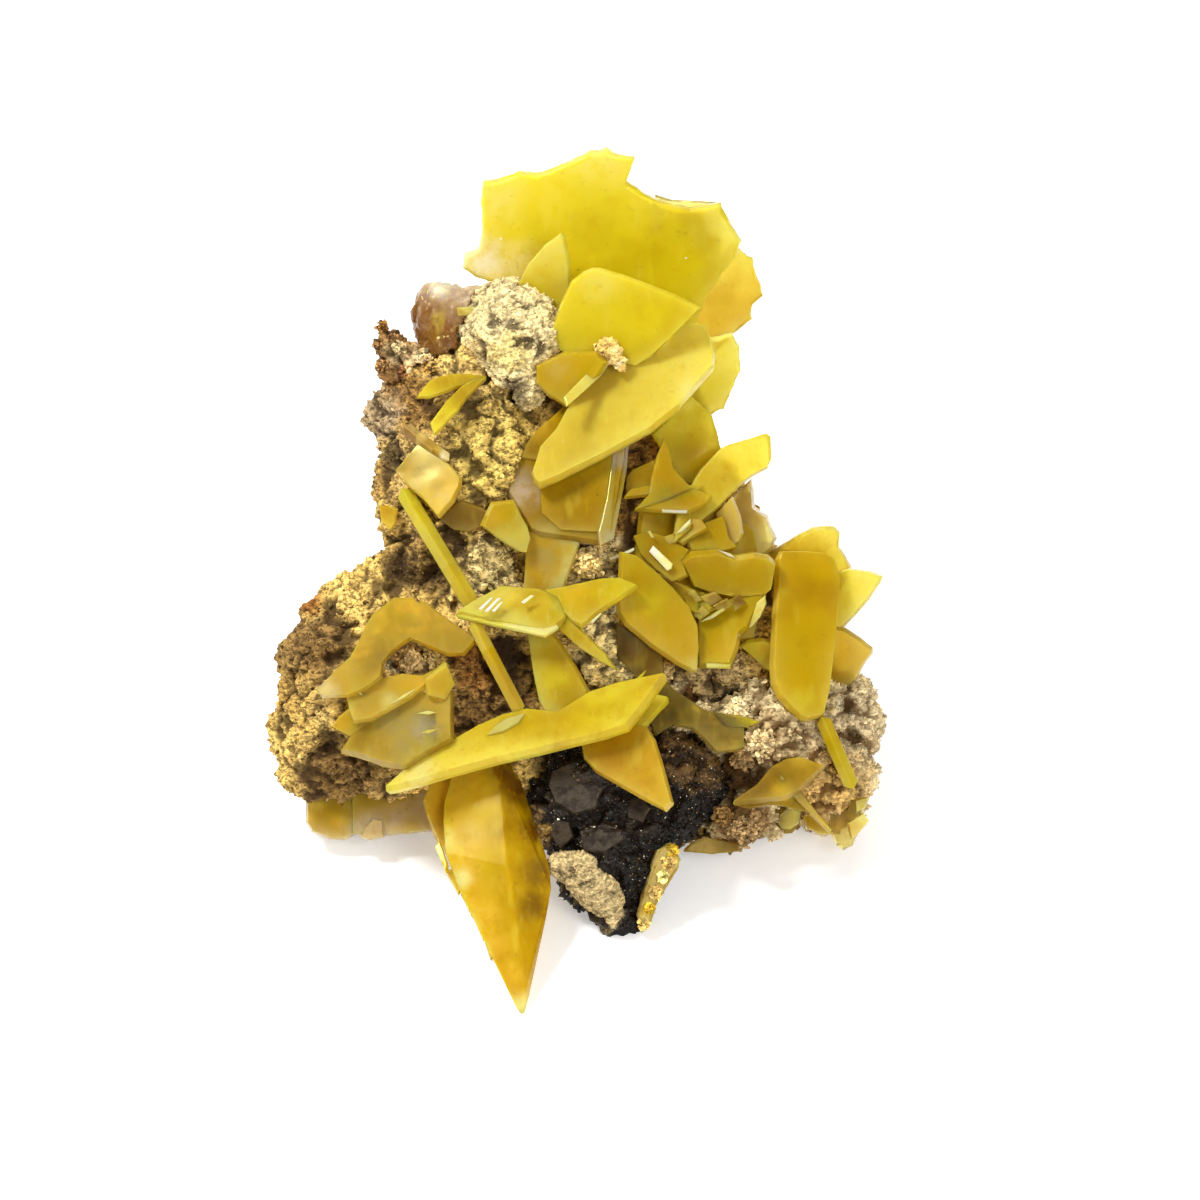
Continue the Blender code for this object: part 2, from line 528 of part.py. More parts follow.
def lumps_together(lumps, with_plinth):
    """One bmesh holding every lump of a rock, still overlapping."""
    shape = bmesh.new()
    for lump in lumps:
        if isinstance(lump, Backing):
            centre = Vector(lump.place) * MM
        else:
            centre = on_sheet(lump.right, lump.down, lump.depth)
        size = Matrix.Diagonal((*[radius * MM for radius in lump.radii], 1))
        bmesh.ops.create_icosphere(
            shape, subdivisions=3, radius=1, matrix=Matrix.Translation(centre) @ size
        )
    if with_plinth:
        low = [shape.verts.new((x * MM, y * MM, PLINTH_BOTTOM)) for x, y in PLINTH]
        floor = shape.faces.new(low)
        risen = bmesh.ops.extrude_face_region(shape, geom=[floor])
        top = [item for item in risen["geom"] if isinstance(item, bmesh.types.BMVert)]
        middle = Vector((*PLINTH_MIDDLE, 0)) * MM
        for vert in top:
            vert.co = middle + (vert.co - middle) * PLINTH_TAPER
            vert.co.z = PLINTH_HEIGHT
        bmesh.ops.recalc_face_normals(shape, faces=shape.faces)
    return shape


def roughen(shape, amount, seed):
    """Push a rock's surface in and out with fixed noise."""
    shape.normal_update()
    shifted = Vector(NOISE_SHIFT) * seed
    moves = []
    for vert in shape.verts:
        spot = vert.co / ROCK_GRAIN + shifted
        height = noise.fractal(spot, NOISE_RISE, NOISE_STEP, NOISE_OCTAVES)
        height += BROAD_SHARE * noise.noise(spot * BROAD_GRAIN)
        moves.append(vert.normal * height * amount)
    for vert, move in zip(shape.verts, moves):
        vert.co += move


def thin_out(shape, name, faces):
    """Reduce a bmesh to about the given number of triangles."""
    bmesh.ops.triangulate(shape, faces=shape.faces)
    ratio = min(1.0, faces / len(shape.faces))
    source = place(shape, name)
    fewer = source.modifiers.new("fewer", "DECIMATE")
    fewer.ratio = ratio
    fewer.use_collapse_triangulate = True
    return evaluated(source)


def rock_shape(rock, with_plinth=False, seed=1.0):
    """A rock as a closed, rough bmesh with a flat base where it reaches the ground."""
    source = place(lumps_together(rock.lumps, with_plinth), rock.name)
    joined = source.modifiers.new("joined", "REMESH")
    joined.mode = "VOXEL"
    joined.voxel_size = ROCK_CELL
    shape = evaluated(source)
    largest_body(shape)
    bmesh.ops.smooth_vert(shape, verts=shape.verts, factor=SMOOTHING, use_axis_x=True,
                          use_axis_y=True, use_axis_z=True)
    roughen(shape, rock.rough * MM, seed)
    shape = thin_out(shape, rock.name, rock.faces)
    cut_level(shape, 0)
    bmesh.ops.recalc_face_normals(shape, faces=shape.faces)
    return shape


def grown(shape, amount):
    """A copy of a bmesh with its surface moved out, to cut neighbours with."""
    copy = shape.copy()
    copy.normal_update()
    moves = [
        vert.normal * amount * min(vert.calc_shell_factor(), SHARPEST) for vert in copy.verts
    ]
    for vert, move in zip(copy.verts, moves):
        on_floor = vert.co.z < MERGE
        vert.co += move
        if on_floor:
            vert.co.z = -amount
    return copy


def flat_outline(points, depth, lean):
    """World places of a sheet outline on a leaning plane, and the plane's two facing normals."""
    middle = [sum(axis) / len(points) for axis in zip(*points)]
    places = []
    for right, down in points:
        gained = lean[0] * (right - middle[0]) - lean[1] * (down - middle[1])
        places.append(on_sheet(right, down, depth + gained * SHEET_STEP / MM))
    facing = (TOWARDS - RIGHT * lean[0] - UP * lean[1]).normalized()
    return places, facing


def inset(places, facing, width):
    """The outline moved inwards by a width, less where its sides are short."""
    moved = []
    for index, here in enumerate(places):
        before = here - places[index - 1]
        after = places[(index + 1) % len(places)] - here
        step = min(width, INSET_LIMIT * before.length, INSET_LIMIT * after.length)
        inward = facing.cross(before.normalized()) + facing.cross(after.normalized())
        inward.normalize()
        moved.append(here + inward * step)
    return moved


def turned_left(places, facing):
    """The outline in the order that runs anticlockwise seen from its front."""
    swept = sum((a.cross(b) for a, b in zip(places, places[1:] + places[:1])), Vector())
    return places if swept.dot(facing) > 0 else places[::-1]


def tablet(places, facing, thick, bevel):
    """A flat crystal: its outline runs round its middle, and its two faces are smaller."""
    places = turned_left(places, facing)
    small = inset(places, facing, bevel)
    half = facing * (thick / 2)
    shape = bmesh.new()
    front = [shape.verts.new(spot + half) for spot in small]
    rim = [shape.verts.new(spot) for spot in places]
    back = [shape.verts.new(spot - half) for spot in small]
    shape.faces.new(front)
    shape.faces.new(back[::-1])
    for index in range(len(places)):
        after = (index + 1) % len(places)
        shape.faces.new((rim[index], rim[after], front[after], front[index]))
        shape.faces.new((back[index], back[after], rim[after], rim[index]))
    bmesh.ops.triangulate(shape, faces=shape.faces)
    return shape


def plate_shape(plate):
    """A tablet whose outline is drawn as it is seen."""
    places, facing = flat_outline(plate.outline, plate.depth, plate.lean)
    return tablet(places, facing, plate.thick * MM, plate.bevel * MM)


def blade_shape(blade):
    """A tablet seen on its edge: a sharp front edge from start to end, and a body behind it."""
    start = on_sheet(*blade.start, blade.depths[0])
    end = on_sheet(*blade.end, blade.depths[1])
    along = end - start
    behind = -TOWARDS * (blade.reach * MM)
    bulge = TOWARDS * (BLADE_BULGE * along.length)
    places = [
        start + along * share + behind * back + bulge * forward
        for share, back, forward in BLADE_OUTLINE
    ]
    facing = along.cross(TOWARDS).normalized()
    return tablet(places, facing, blade.width * MM, blade.width * BLADE_BEVEL * MM)


def gem_shape(gem):
    """A thick crystal with a ridge in front and another behind."""
    places, facing = flat_outline(gem.outline, gem.depth, gem.lean)
    middle = [sum(axis) / len(gem.outline) for axis in zip(*gem.outline)]
    shape = bmesh.new()
    for spot in places:
        shape.verts.new(spot)
    for number, (right, down) in enumerate(gem.ridge):
        gained = gem.lean[0] * (right - middle[0]) - gem.lean[1] * (down - middle[1])
        spot = on_sheet(right, down, gem.depth + gained * SHEET_STEP / MM)
        height = gem.height * MM * (1 - RIDGE_FALL * number)
        shape.verts.new(spot + facing * height)
        shape.verts.new(spot - facing * height)
    hull = bmesh.ops.convex_hull(shape, input=shape.verts)
    inner = [item for item in hull["geom_interior"] if isinstance(item, bmesh.types.BMVert)]
    bmesh.ops.delete(shape, geom=inner, context="VERTS")
    return shape


BUILDERS = {Plate: plate_shape, Blade: blade_shape, Gem: gem_shape}


def box_of(shape):
    """Lowest and highest corner of a bmesh."""
    lows = Vector([min(vert.co[axis] for vert in shape.verts) for axis in range(3)])
    highs = Vector([max(vert.co[axis] for vert in shape.verts) for axis in range(3)])
    return lows, highs


def boxes_meet(first, second):
    """True where two boxes share room."""
    return all(
        first[0][axis] < second[1][axis] and second[0][axis] < first[1][axis] for axis in range(3)
    )


def combined(shape, others, operation):
    """A bmesh with others cut from it or joined to it."""
    source = place(shape, "work")
    for other in others:
        step = source.modifiers.new(operation.lower(), "BOOLEAN")
        step.operation = operation
        step.solver = "EXACT"
        step.use_self = True
        step.object = other
    return evaluated(source)


def is_closed(shape):
    """True where every edge joins two faces."""
    return all(len(edge.link_faces) == 2 for edge in shape.edges)


def simplified(shape):
    """The shape in as few triangles as its flat faces need, if it stays closed that way."""
    simple = shape.copy()
    bmesh.ops.dissolve_limit(
        simple, angle_limit=FLAT_ANGLE, verts=simple.verts, edges=simple.edges
    )
    bmesh.ops.triangulate(simple, faces=simple.faces)
    bmesh.ops.dissolve_degenerate(simple, edges=simple.edges, dist=MERGE)
    if is_closed(simple):
        return simple
    bmesh.ops.triangulate(shape, faces=shape.faces)
    return shape


def tool_from(shape, amount):
    """A hidden object, a little larger than a bmesh, that cuts its neighbours."""
    tool = place(grown(shape, amount), "tool")
    tool.hide_render = True
    tool.display_type = "WIRE"
    return tool


def finish(shape, name, material_name, tools):
    """Cut a shape clear of everything made before it, name it, and add its own cutting tool."""
    box = box_of(shape)
    near = [tool for tool, tool_box in tools if boxes_meet(box, tool_box)]
    if near:
        shape = combined(shape, near, "DIFFERENCE")
        largest_body(shape)
    shape = simplified(shape)
    tool = tool_from(shape, TOOL_GROWTH)
    grown_by = Vector((GAP, GAP, GAP)) * 2
    low, high = box_of(shape)
    tools.append((tool, (low - grown_by, high + grown_by)))
    place(shape, name, material_name)


def build_rocks(tools):
    """The rock masses, the matrix first."""
    for number, rock in enumerate(ROCKS):
        shape = rock_shape(rock, with_plinth=(number == 0), seed=number + 1.0)
        finish(shape, rock.name, rock.material, tools)


def build_crystals(tools):
    """Every crystal, the whole ones first."""
    for name, members in CRYSTALS.items():
        shapes = [BUILDERS[type(member)](member) for member in members]
        shape = shapes[0]
        if len(shapes) > 1:
            others = [place(other, "work") for other in shapes[1:]]
            shape = combined(shape, others, "UNION")
            for other in others:
                bpy.data.objects.remove(other)
        if box_of(shape)[0].z < FLOOR_CLEARANCE:
            cut_level(shape, FLOOR_CLEARANCE)
        finish(shape, name, members[0].material, tools)


def main():
    """Build the whole specimen in an empty scene."""
    for old in list(bpy.data.objects):
        bpy.data.objects.remove(old)
    tools = []
    build_rocks(tools)
    build_crystals(tools)
    for tool, _ in tools:
        bpy.data.objects.remove(tool)


main()
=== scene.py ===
import math
import random
from collections import namedtuple

import bmesh
import bpy
import numpy as np
from mathutils import Euler, Matrix, Vector, noise


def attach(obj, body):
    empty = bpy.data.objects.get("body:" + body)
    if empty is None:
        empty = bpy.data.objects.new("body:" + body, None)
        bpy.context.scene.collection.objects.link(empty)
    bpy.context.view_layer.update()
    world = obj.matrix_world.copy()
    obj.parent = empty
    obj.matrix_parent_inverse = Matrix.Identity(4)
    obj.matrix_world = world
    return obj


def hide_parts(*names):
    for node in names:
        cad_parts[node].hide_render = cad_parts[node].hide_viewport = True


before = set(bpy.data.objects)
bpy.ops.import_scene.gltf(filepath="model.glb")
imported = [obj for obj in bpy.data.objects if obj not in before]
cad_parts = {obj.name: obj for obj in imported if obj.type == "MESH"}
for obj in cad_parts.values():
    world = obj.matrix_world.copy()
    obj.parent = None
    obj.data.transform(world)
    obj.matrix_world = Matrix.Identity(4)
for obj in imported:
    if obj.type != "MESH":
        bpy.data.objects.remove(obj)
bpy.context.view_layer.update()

# Everything is laid out on one drawing sheet that leans back, square to a line of sight that comes
# down at VIEW_TILT. Its points are (right, down) in tenths of a millimetre, and a depth in millimetres
# says how far a point stands out of the sheet towards the viewer.
MM = 0.001
SHEET_STEP = 0.0001
SHEET_ZERO = (577, 850)
VIEW_TILT = math.radians(40)
RIGHT = Vector((1, 0, 0))
UP = Vector((0, math.sin(VIEW_TILT), math.cos(VIEW_TILT)))
TOWARDS = Vector((0, -math.cos(VIEW_TILT), math.sin(VIEW_TILT)))
# Points closer than MERGE are one point, and every crystal is cut off at BASE_HEIGHT above the floor.
MERGE = 0.00001
BASE_HEIGHT = 0.00008
# Without a seed of its own, the twist of noise vectors would start from the clock.
NOISE_SEED = 1
noise.seed_set(NOISE_SEED)

Plate = namedtuple("Plate", "depth lean thick bevel outline")
Blade = namedtuple("Blade", "start end depths width reach")
Gem = namedtuple("Gem", "depth lean height ridge outline")
Look = namedtuple("Look", "light deep light_at deep_at clear ragged spots")
Crystal = namedtuple("Crystal", "slot look members")

# ---------------------------------------------------------------- colours, as a screen shows them
PALETTE = {
    # White is only used for painted glints.
    "white": (250, 248, 240), "milk": (243, 236, 205), "cream": (244, 230, 140), "butter": (238, 220, 80),
    "pale_lemon": (234, 222, 104), "lemon": (230, 212, 48), "sharp_lemon": (220, 200, 22),
    "mustard": (214, 182, 4), "gold": (212, 176, 0), "amber": (206, 167, 0), "deep_amber": (180, 139, 0),
    "brown_amber": (120, 78, 10), "honey": (228, 190, 50), "deep_honey": (205, 157, 16),
    "straw": (220, 190, 80), "sand": (210, 178, 100), "old_gold": (192, 158, 26),
    "bronze": (150, 112, 22), "olive": (186, 160, 76), "dark_olive": (136, 114, 44),
    "smoke": (205, 186, 110), "rose_smoke": (224, 200, 168),
    "buff": (232, 194, 106), "tan_rock": (206, 162, 78), "brown_rock": (150, 104, 40),
    "pale_crumb": (240, 220, 168), "pale_cream": (250, 224, 150), "bright_cream": (255, 236, 176),
    "knob_cream": (238, 216, 156), "patch_buff": (222, 196, 138), "beige": (230, 204, 148),
    "dun": (160, 130, 84), "umber": (132, 98, 50), "yellow_crust": (240, 212, 96),
    "grey_crust": (206, 174, 104),
    "violet_grey": (186, 164, 128), "pink_brown": (140, 94, 54), "rust": (168, 126, 74),
    # The pit shades are painted shade in the pits of crusts.
    "orange_rust": (206, 124, 36), "crust_gap": (52, 30, 8), "druse_pit_shade": (120, 84, 36),
    # The cave shade paints the shadow in caves, gaps and the ore's pits, and is also the ore's own black.
    "dark_cave": (30, 18, 6), "ore": (15, 10, 4), "ore_light": (70, 56, 38), "ore_sheen": (62, 50, 34),
}


def shade(name):
    """A palette colour as light, ready for a shader."""
    parts = [part / 255 for part in PALETTE[name]]
    return (*[part / 12.92 if part < 0.04045 else ((part + 0.055) / 1.055) ** 2.4 for part in parts], 1)


# ---------------------------------------------------------------- crystals
# Every crystal: its slot, its look and its plates, blades or gems. A depth is that of an outline's
# middle; lean is the depth gained per millimetre (right, up). A look is the light and the deep colour
# and where on the sheet they lie, how clear the crystal is, how ragged its rim is in millimetres, and
# spots of other colours as (colour, place, radius in mm).
CRYSTALS = {
    "long_bottom_blade": Crystal("lemon", Look("butter", "mustard", (520, 760), (520, 715), 0.3, 0.03, [
        ("lemon", (620, 705), 5.0), ("cream", (420, 776), 2.5), ("old_gold", (500, 768), 1.5),
        ("old_gold", (560, 750), 1.5)]), [
        Plate(13.4, (0.38, -0.8), 1.5, 0.6, [(388, 789), (410, 768), (456, 741), (480, 727), (505, 716),
            (530, 710), (560, 713), (592, 693), (620, 684), (666, 675), (655, 692), (640, 712),
            (628, 727), (605, 735), (580, 741), (540, 751), (500, 760), (452, 773), (420, 783),
            (395, 789)]),
        Plate(11.5, (0.0, 0.0), 0.7, 0.2, [(628, 690), (630, 682), (646, 669), (641, 679), (640, 690)]),
    ]),
    # The spike's pale left side and the cream spots along its left edge are painted highlight; its deep
    # right side and brown spots are painted shade, partly also the dark ore seen through it.
    "front_spike": Crystal("honey", Look("honey", "amber", (452, 860), (530, 860), 0.3, 0.06, [
        ("cream", (450, 838), 1.4), ("cream", (464, 875), 1.3), ("cream", (480, 915), 1.2),
        ("cream", (492, 945), 1.1), ("straw", (470, 830), 2.0), ("mustard", (486, 815), 1.6),
        ("mustard", (492, 858), 2.0), ("deep_amber", (506, 825), 1.8), ("amber", (520, 888), 2.2),
        ("deep_amber", (530, 908), 1.8), ("brown_amber", (522, 785), 2.8),
        ("brown_amber", (536, 830), 2.2), ("brown_amber", (504, 772), 1.8), ("bronze", (540, 868), 2.4),
        ("bronze", (534, 900), 1.8), ("honey", (488, 912), 2.2), ("honey", (500, 942), 2.2),
        ("honey", (514, 975), 2.4), ("cream", (524, 1003), 2.0)]), [
        Gem(13.0, (0.0, -0.44), 2.3, [(500, 770), (509, 870), (518, 930), (527, 985)], [(445, 800),
            (444, 820), (446, 850), (458, 882), (470, 903), (485, 935), (495, 955), (506, 978),
            (516, 1000), (524, 1013), (530, 992), (538, 955), (547, 915), (553, 885), (550, 862),
            (535, 830), (520, 800), (512, 780), (510, 745), (470, 740), (453, 772)]),
    ]),
    "upper_square_plate": Crystal("pale_lemon",
        Look("lemon", "sharp_lemon", (580, 275), (660, 350), 0.25, 0.02, [("pale_lemon", (705, 325), 3.0),
            ("pale_lemon", (600, 285), 2.6)]), [
        Plate(4.7, (0.1, 0.2), 1.6, 0.6, [(571, 283), (583, 273), (592, 269), (600, 269), (620, 275),
            (640, 282), (678, 297), (700, 309), (670, 340), (651, 358), (636, 367), (600, 358),
            (560, 352), (550, 335), (560, 306)]),
    ]),
    "small_bevelled_plate": Crystal("amber", Look("mustard", "gold", (570, 360), (550, 395), 0.35, 0.01, [
        ("straw", (560, 372), 2.0)]), [
        Plate(5.6, (0.12, 0.0), 2.0, 0.95, [(536, 366), (565, 352), (597, 352), (608, 363), (600, 378),
            (585, 392), (567, 408), (549, 398), (536, 385)]),
    ]),
    # Its amber spot near the top left is a painted shadow of the square plate in front of it.
    "long_leaning_plate": Crystal("lemon", Look("butter", "mustard", (690, 410), (555, 415), 0.3, 0.05, [
        ("amber", (600, 378), 2.5), ("pale_lemon", (690, 365), 2.6), ("cream", (690, 392), 1.8),
        ("amber", (540, 440), 1.5)]), [
        Plate(5.4, (0.07, -0.52), 1.6, 0.5, [(540, 488), (534, 483), (532, 475), (540, 450), (556, 432),
            (570, 405), (585, 375), (620, 350), (660, 335), (697, 325), (706, 328), (711, 340),
            (715, 357), (714, 369), (700, 385), (680, 409), (650, 433), (628, 445), (600, 460),
            (560, 480)]),
    ]),
    "crown_plate": Crystal("lemon", Look("lemon", "sharp_lemon", (520, 165), (600, 300), 0.25, 0.16, [
        ("pale_lemon", (735, 225), 4.6), ("pale_lemon", (600, 150), 4.4), ("cream", (520, 262), 2.6),
        ("pale_lemon", (500, 200), 3.0), ("milk", (480, 262), 3.4)]), [
        Plate(-1.6, (0.05, 0.36), 1.7, 0.5, [(483, 181), (500, 178), (519, 171), (537, 173), (560, 165),
            (590, 151), (607, 148), (613, 153), (635, 158), (630, 173), (627, 181), (640, 190),
            (660, 201), (690, 208), (720, 203), (729, 219), (742, 240), (738, 254), (714, 285),
            (703, 305), (690, 335), (640, 352), (600, 355), (560, 335), (540, 300), (505, 286),
            (475, 275), (462, 266), (464, 253), (478, 247), (482, 225), (480, 200)]),
    ]),
    "crown_back_sliver": Crystal("pale_lemon",
        Look("cream", "butter", (690, 200), (690, 300), 0.5, 0.05, []), [
        Plate(-4.0, (0.05, 0.36), 1.0, 0.3, [(655, 194), (672, 199), (700, 200), (722, 202), (722, 260),
            (690, 320), (660, 330), (650, 240)]),
    ]),
    "fringe_plate_upper": Crystal("pale_lemon",
        Look("butter", "honey", (735, 250), (750, 320), 0.4, 0.2, []), [
        Plate(-6.0, (-0.15, 0.3), 1.3, 0.45, [(735, 240), (746, 252), (754, 257), (756, 268), (762, 284),
            (764, 293), (753, 303), (753, 317), (738, 329), (715, 350), (690, 385), (662, 380),
            (675, 320), (690, 290), (712, 262)]),
    ]),
    "fringe_plate_lower": Crystal("pale_lemon",
        Look("pale_lemon", "sharp_lemon", (720, 350), (705, 430), 0.35, 0.14, []), [
        Plate(-3.2, (-0.2, 0.25), 1.3, 0.45, [(732, 331), (740, 346), (741, 369), (735, 383), (724, 408),
            (711, 414), (695, 425), (670, 415), (670, 380), (690, 350), (705, 338)]),
    ]),
    "pale_wedge_plate": Crystal("pale_lemon",
        Look("pale_lemon", "lemon", (562, 240), (560, 320), 0.3, 0.03, []), [
        Plate(1.4, (0.25, 0.3), 1.2, 0.4, [(561, 234), (565, 238), (568, 250), (570, 265), (572, 293),
            (566, 315), (545, 325), (520, 305), (517, 285), (530, 262), (545, 245)]),
    ]),
    "amber_back_plate": Crystal("amber",
        Look("amber", "deep_amber", (560, 420), (530, 460), 0.35, 0.03, []), [
        Plate(4.3, (0.07, -0.52), 1.2, 0.4, [(521, 461), (524, 449), (535, 434), (560, 412), (580, 390),
            (600, 400), (590, 430), (560, 455), (540, 464)]),
    ]),
    "smoky_centre_plate": Crystal("smoky",
        Look("amber", "deep_amber", (560, 450), (570, 520), 0.4, 0.02, [("rose_smoke", (522, 492), 2.6),
            ("smoke", (545, 535), 2.0), ("rose_smoke", (620, 460), 1.2)]), [
        Plate(6.4, (0.08, -0.35), 1.8, 0.8, [(520, 455), (560, 435), (600, 430), (628, 442), (625, 470),
            (620, 500), (613, 540), (600, 546), (580, 543), (540, 537), (531, 533), (520, 515),
            (508, 495), (510, 475)]),
    ]),
    "yellow_centre_plate": Crystal("lemon",
        Look("pale_lemon", "mustard", (520, 550), (500, 510), 0.35, 0.02, [("honey", (490, 520), 1.2)]), [
        Plate(8.4, (-0.25, 0.2), 1.4, 0.5, [(492, 503), (514, 500), (520, 512), (528, 526), (531, 538),
            (526, 553), (518, 552), (505, 544), (490, 533), (481, 526), (486, 515)]),
    ]),
    "grey_yellow_plate": Crystal("smoky", Look("cream", "honey", (580, 560), (545, 545), 0.35, 0.02, [
        ("smoke", (545, 560), 1.6), ("cream", (560, 595), 1.6)]), [
        Plate(6.6, (0.2, 0.2), 1.3, 0.4, [(529, 530), (560, 534), (581, 541), (575, 560), (566, 584),
            (560, 600), (524, 600), (524, 588), (526, 555)]),
    ]),
    "tan_left_plate": Crystal("tan", Look("honey", "smoke", (450, 500), (405, 460), 0.4, 0.02, []), [
        Plate(8.2, (0.25, -0.35), 1.3, 0.4, [(420, 446), (397, 473), (405, 484), (425, 501), (440, 519),
            (455, 503), (462, 489), (463, 480), (452, 466)]),
    ]),
    "brown_small_plate": Crystal("amber",
        Look("bronze", "brown_amber", (480, 515), (450, 545), 0.4, 0.02, []), [
        Plate(8.2, (0.0, 0.1), 1.2, 0.4, [(441, 521), (452, 508), (462, 500), (478, 506), (492, 512),
            (484, 526), (470, 533), (455, 531)]),
    ]),
    "long_thin_blade": Crystal("lemon",
        Look("lemon", "mustard", (410, 500), (465, 600), 0.35, 0.01, []), [
        Blade((403, 489), (474, 606), (7.2, 10.6), 1.7, 6.0),
    ]),
    "left_edge_triangle": Crystal("tan",
        Look("honey", "old_gold", (395, 520), (382, 508), 0.3, 0.02, []), [
        Plate(4.2, (0.2, 0.0), 0.9, 0.3, [(380, 505), (390, 506), (399, 509), (397, 524), (392, 531),
            (382, 522)]),
    ]),
    "v_blades": Crystal("lemon", Look("lemon", "old_gold", (440, 430), (480, 385), 0.3, 0.02, []), [
        Plate(6.3, (0.1, -0.2), 1.2, 0.4, [(487, 378), (470, 375), (455, 375), (440, 378), (430, 382),
            (418, 399), (430, 400), (445, 395), (458, 390), (475, 386)]),
        Plate(7.2, (0.0, -0.25), 1.3, 0.3, [(487, 380), (478, 380), (462, 388), (448, 402), (438, 415),
            (431, 425), (435, 437), (444, 430), (452, 420), (460, 412), (468, 400), (478, 390)]),
    ]),
    "twig_blade": Crystal("tan", Look("bronze", "brown_amber", (440, 455), (405, 430), 0.1, 0.08, [
        ("milk", (400, 414), 0.7), ("sand", (424, 436), 0.7), ("milk", (446, 456), 0.6)]), [
        Blade((404, 427), (450, 462), (5.2, 8.6), 1.3, 4.0),
    ]),
    "crossed_plates": Crystal("lemon", Look("pale_lemon", "mustard", (480, 620), (560, 595), 0.35, 0.02, [
        ("sharp_lemon", (620, 590), 3.0), ("amber", (570, 660), 2.5), ("honey", (600, 730), 3.0),
        ("lemon", (555, 680), 2.0)]), [
        Plate(11.6, (0.0, -0.6), 1.7, 0.8, [(457, 615), (475, 602), (502, 588), (540, 591), (560, 600),
            (568, 620), (556, 631), (546, 636), (527, 632), (490, 624)]),
        Plate(11.2, (0.1, -0.45), 1.4, 0.5, [(545, 592), (565, 588), (600, 580), (620, 579), (638, 587),
            (620, 600), (600, 613), (582, 628), (572, 623), (556, 610)]),
        Plate(11.8, (0.15, 0.1), 1.1, 0.45, [(548, 607), (570, 618), (588, 635), (606, 653), (618, 670),
            (600, 661), (580, 648), (560, 630)]),
        Plate(10.6, (0.3, 0.0), 1.4, 0.5, [(528, 628), (548, 625), (562, 642), (578, 668), (590, 690),
            (592, 712), (562, 722), (548, 714), (540, 700), (536, 682), (532, 658)]),
    ]),
    "thin_centre_blade": Crystal("lemon", Look("gold", "amber", (480, 630), (520, 700), 0.3, 0.01, []), [
        Blade((474, 621), (522, 713), (12.0, 12.0), 1.4, 4.0),
    ]),
    "blade_companion": Crystal("honey",
        Look("lemon", "mustard", (660, 700), (620, 735), 0.35, 0.02, []), [
        Plate(11.6, (0.1, -0.4), 1.3, 0.45, [(655, 694), (668, 697), (668, 702), (658, 712), (648, 724),
            (632, 738), (618, 737), (610, 722), (630, 700)]),
    ]),
    "amber_wedge": Crystal("honey", Look("honey", "deep_honey", (660, 800), (600, 750), 0.35, 0.02, []), [
        Plate(14.4, (0.2, -0.3), 1.6, 0.6, [(580, 735), (584, 757), (596, 771), (640, 796), (665, 809),
            (673, 801), (662, 760), (655, 738), (647, 725), (620, 722), (590, 728)]),
    ]),
    "olive_plate": Crystal("olive", Look("olive", "dark_olive", (735, 740), (670, 700), 0.5, 0.02, [
        ("lemon", (750, 719), 1.6), ("straw", (730, 745), 1.6)]), [
        Plate(9.6, (-0.15, -0.2), 1.3, 0.4, [(648, 692), (665, 680), (672, 688), (690, 700), (705, 710),
            (720, 712), (743, 722), (743, 748), (730, 751), (715, 752), (702, 738), (690, 728),
            (672, 725), (655, 735), (648, 722)]),
        Plate(9.4, (0.0, 0.0), 0.9, 0.3, [(712, 711), (740, 714), (760, 721), (745, 727), (720, 726)]),
    ]),
    # Its cream spot at the lower right is a painted highlight on its bright lower rim.
    "spearhead_plate": Crystal("amber", Look("honey", "mustard", (655, 650), (640, 570), 0.4, 0.02, [
        ("cream", (692, 668), 1.4), ("straw", (622, 600), 1.6), ("lemon", (650, 600), 2.0)]), [
        Plate(9.3, (-0.25, -0.2), 1.6, 0.6, [(619, 552), (618, 578), (616, 605), (617, 614), (625, 626),
            (650, 647), (675, 664), (690, 672), (696, 671), (698, 650), (697, 627), (688, 607),
            (672, 588), (655, 572), (636, 556)]),
    ]),
    "finger_plate": Crystal("lemon", Look("butter", "mustard", (765, 445), (690, 520), 0.35, 0.02, []), [
        Plate(4.4, (-0.25, -0.3), 1.5, 0.5, [(720, 449), (725, 446), (745, 440), (764, 434), (770, 438),
            (771, 461), (767, 469), (752, 477), (738, 488), (720, 507), (700, 524), (672, 545),
            (676, 510), (700, 470)]),
    ]),
    "amber_rosette": Crystal("amber", Look("mustard", "amber", (730, 600), (650, 540), 0.4, 0.03, [
        ("honey", (730, 650), 2.0)]), [
        Plate(4.9, (-0.3, -0.1), 1.8, 0.6, [(640, 500), (700, 492), (752, 530), (764, 590), (752, 640),
            (690, 645), (650, 610), (634, 560)]),
        Plate(6.6, (-0.15, -0.2), 1.1, 0.3, [(634, 511), (648, 495), (651, 478), (656, 458), (663, 439),
            (668, 448), (673, 470), (688, 486), (702, 487), (692, 498), (664, 504)]),
        Plate(5.4, (0.1, 0.0), 0.9, 0.25, [(625, 497), (626, 478), (632, 470), (655, 460), (656, 486),
            (640, 492)]),
        Plate(6.9, (0.0, -0.4), 0.9, 0.25, [(624, 499), (630, 491), (645, 488), (668, 486), (668, 495),
            (646, 497)]),
        Plate(7.2, (0.0, -0.5), 1.0, 0.3, [(634, 511), (648, 501), (670, 497), (692, 490), (712, 498),
            (702, 508), (687, 514), (660, 513)]),
        Plate(7.4, (0.2, -0.4), 1.0, 0.3, [(672, 542), (676, 533), (690, 520), (702, 521), (708, 530),
            (694, 538), (682, 546)]),
        Plate(6.6, (-0.2, -0.3), 1.3, 0.35, [(690, 553), (684, 541), (689, 527), (702, 524), (722, 517),
            (728, 540), (736, 549), (720, 554)]),
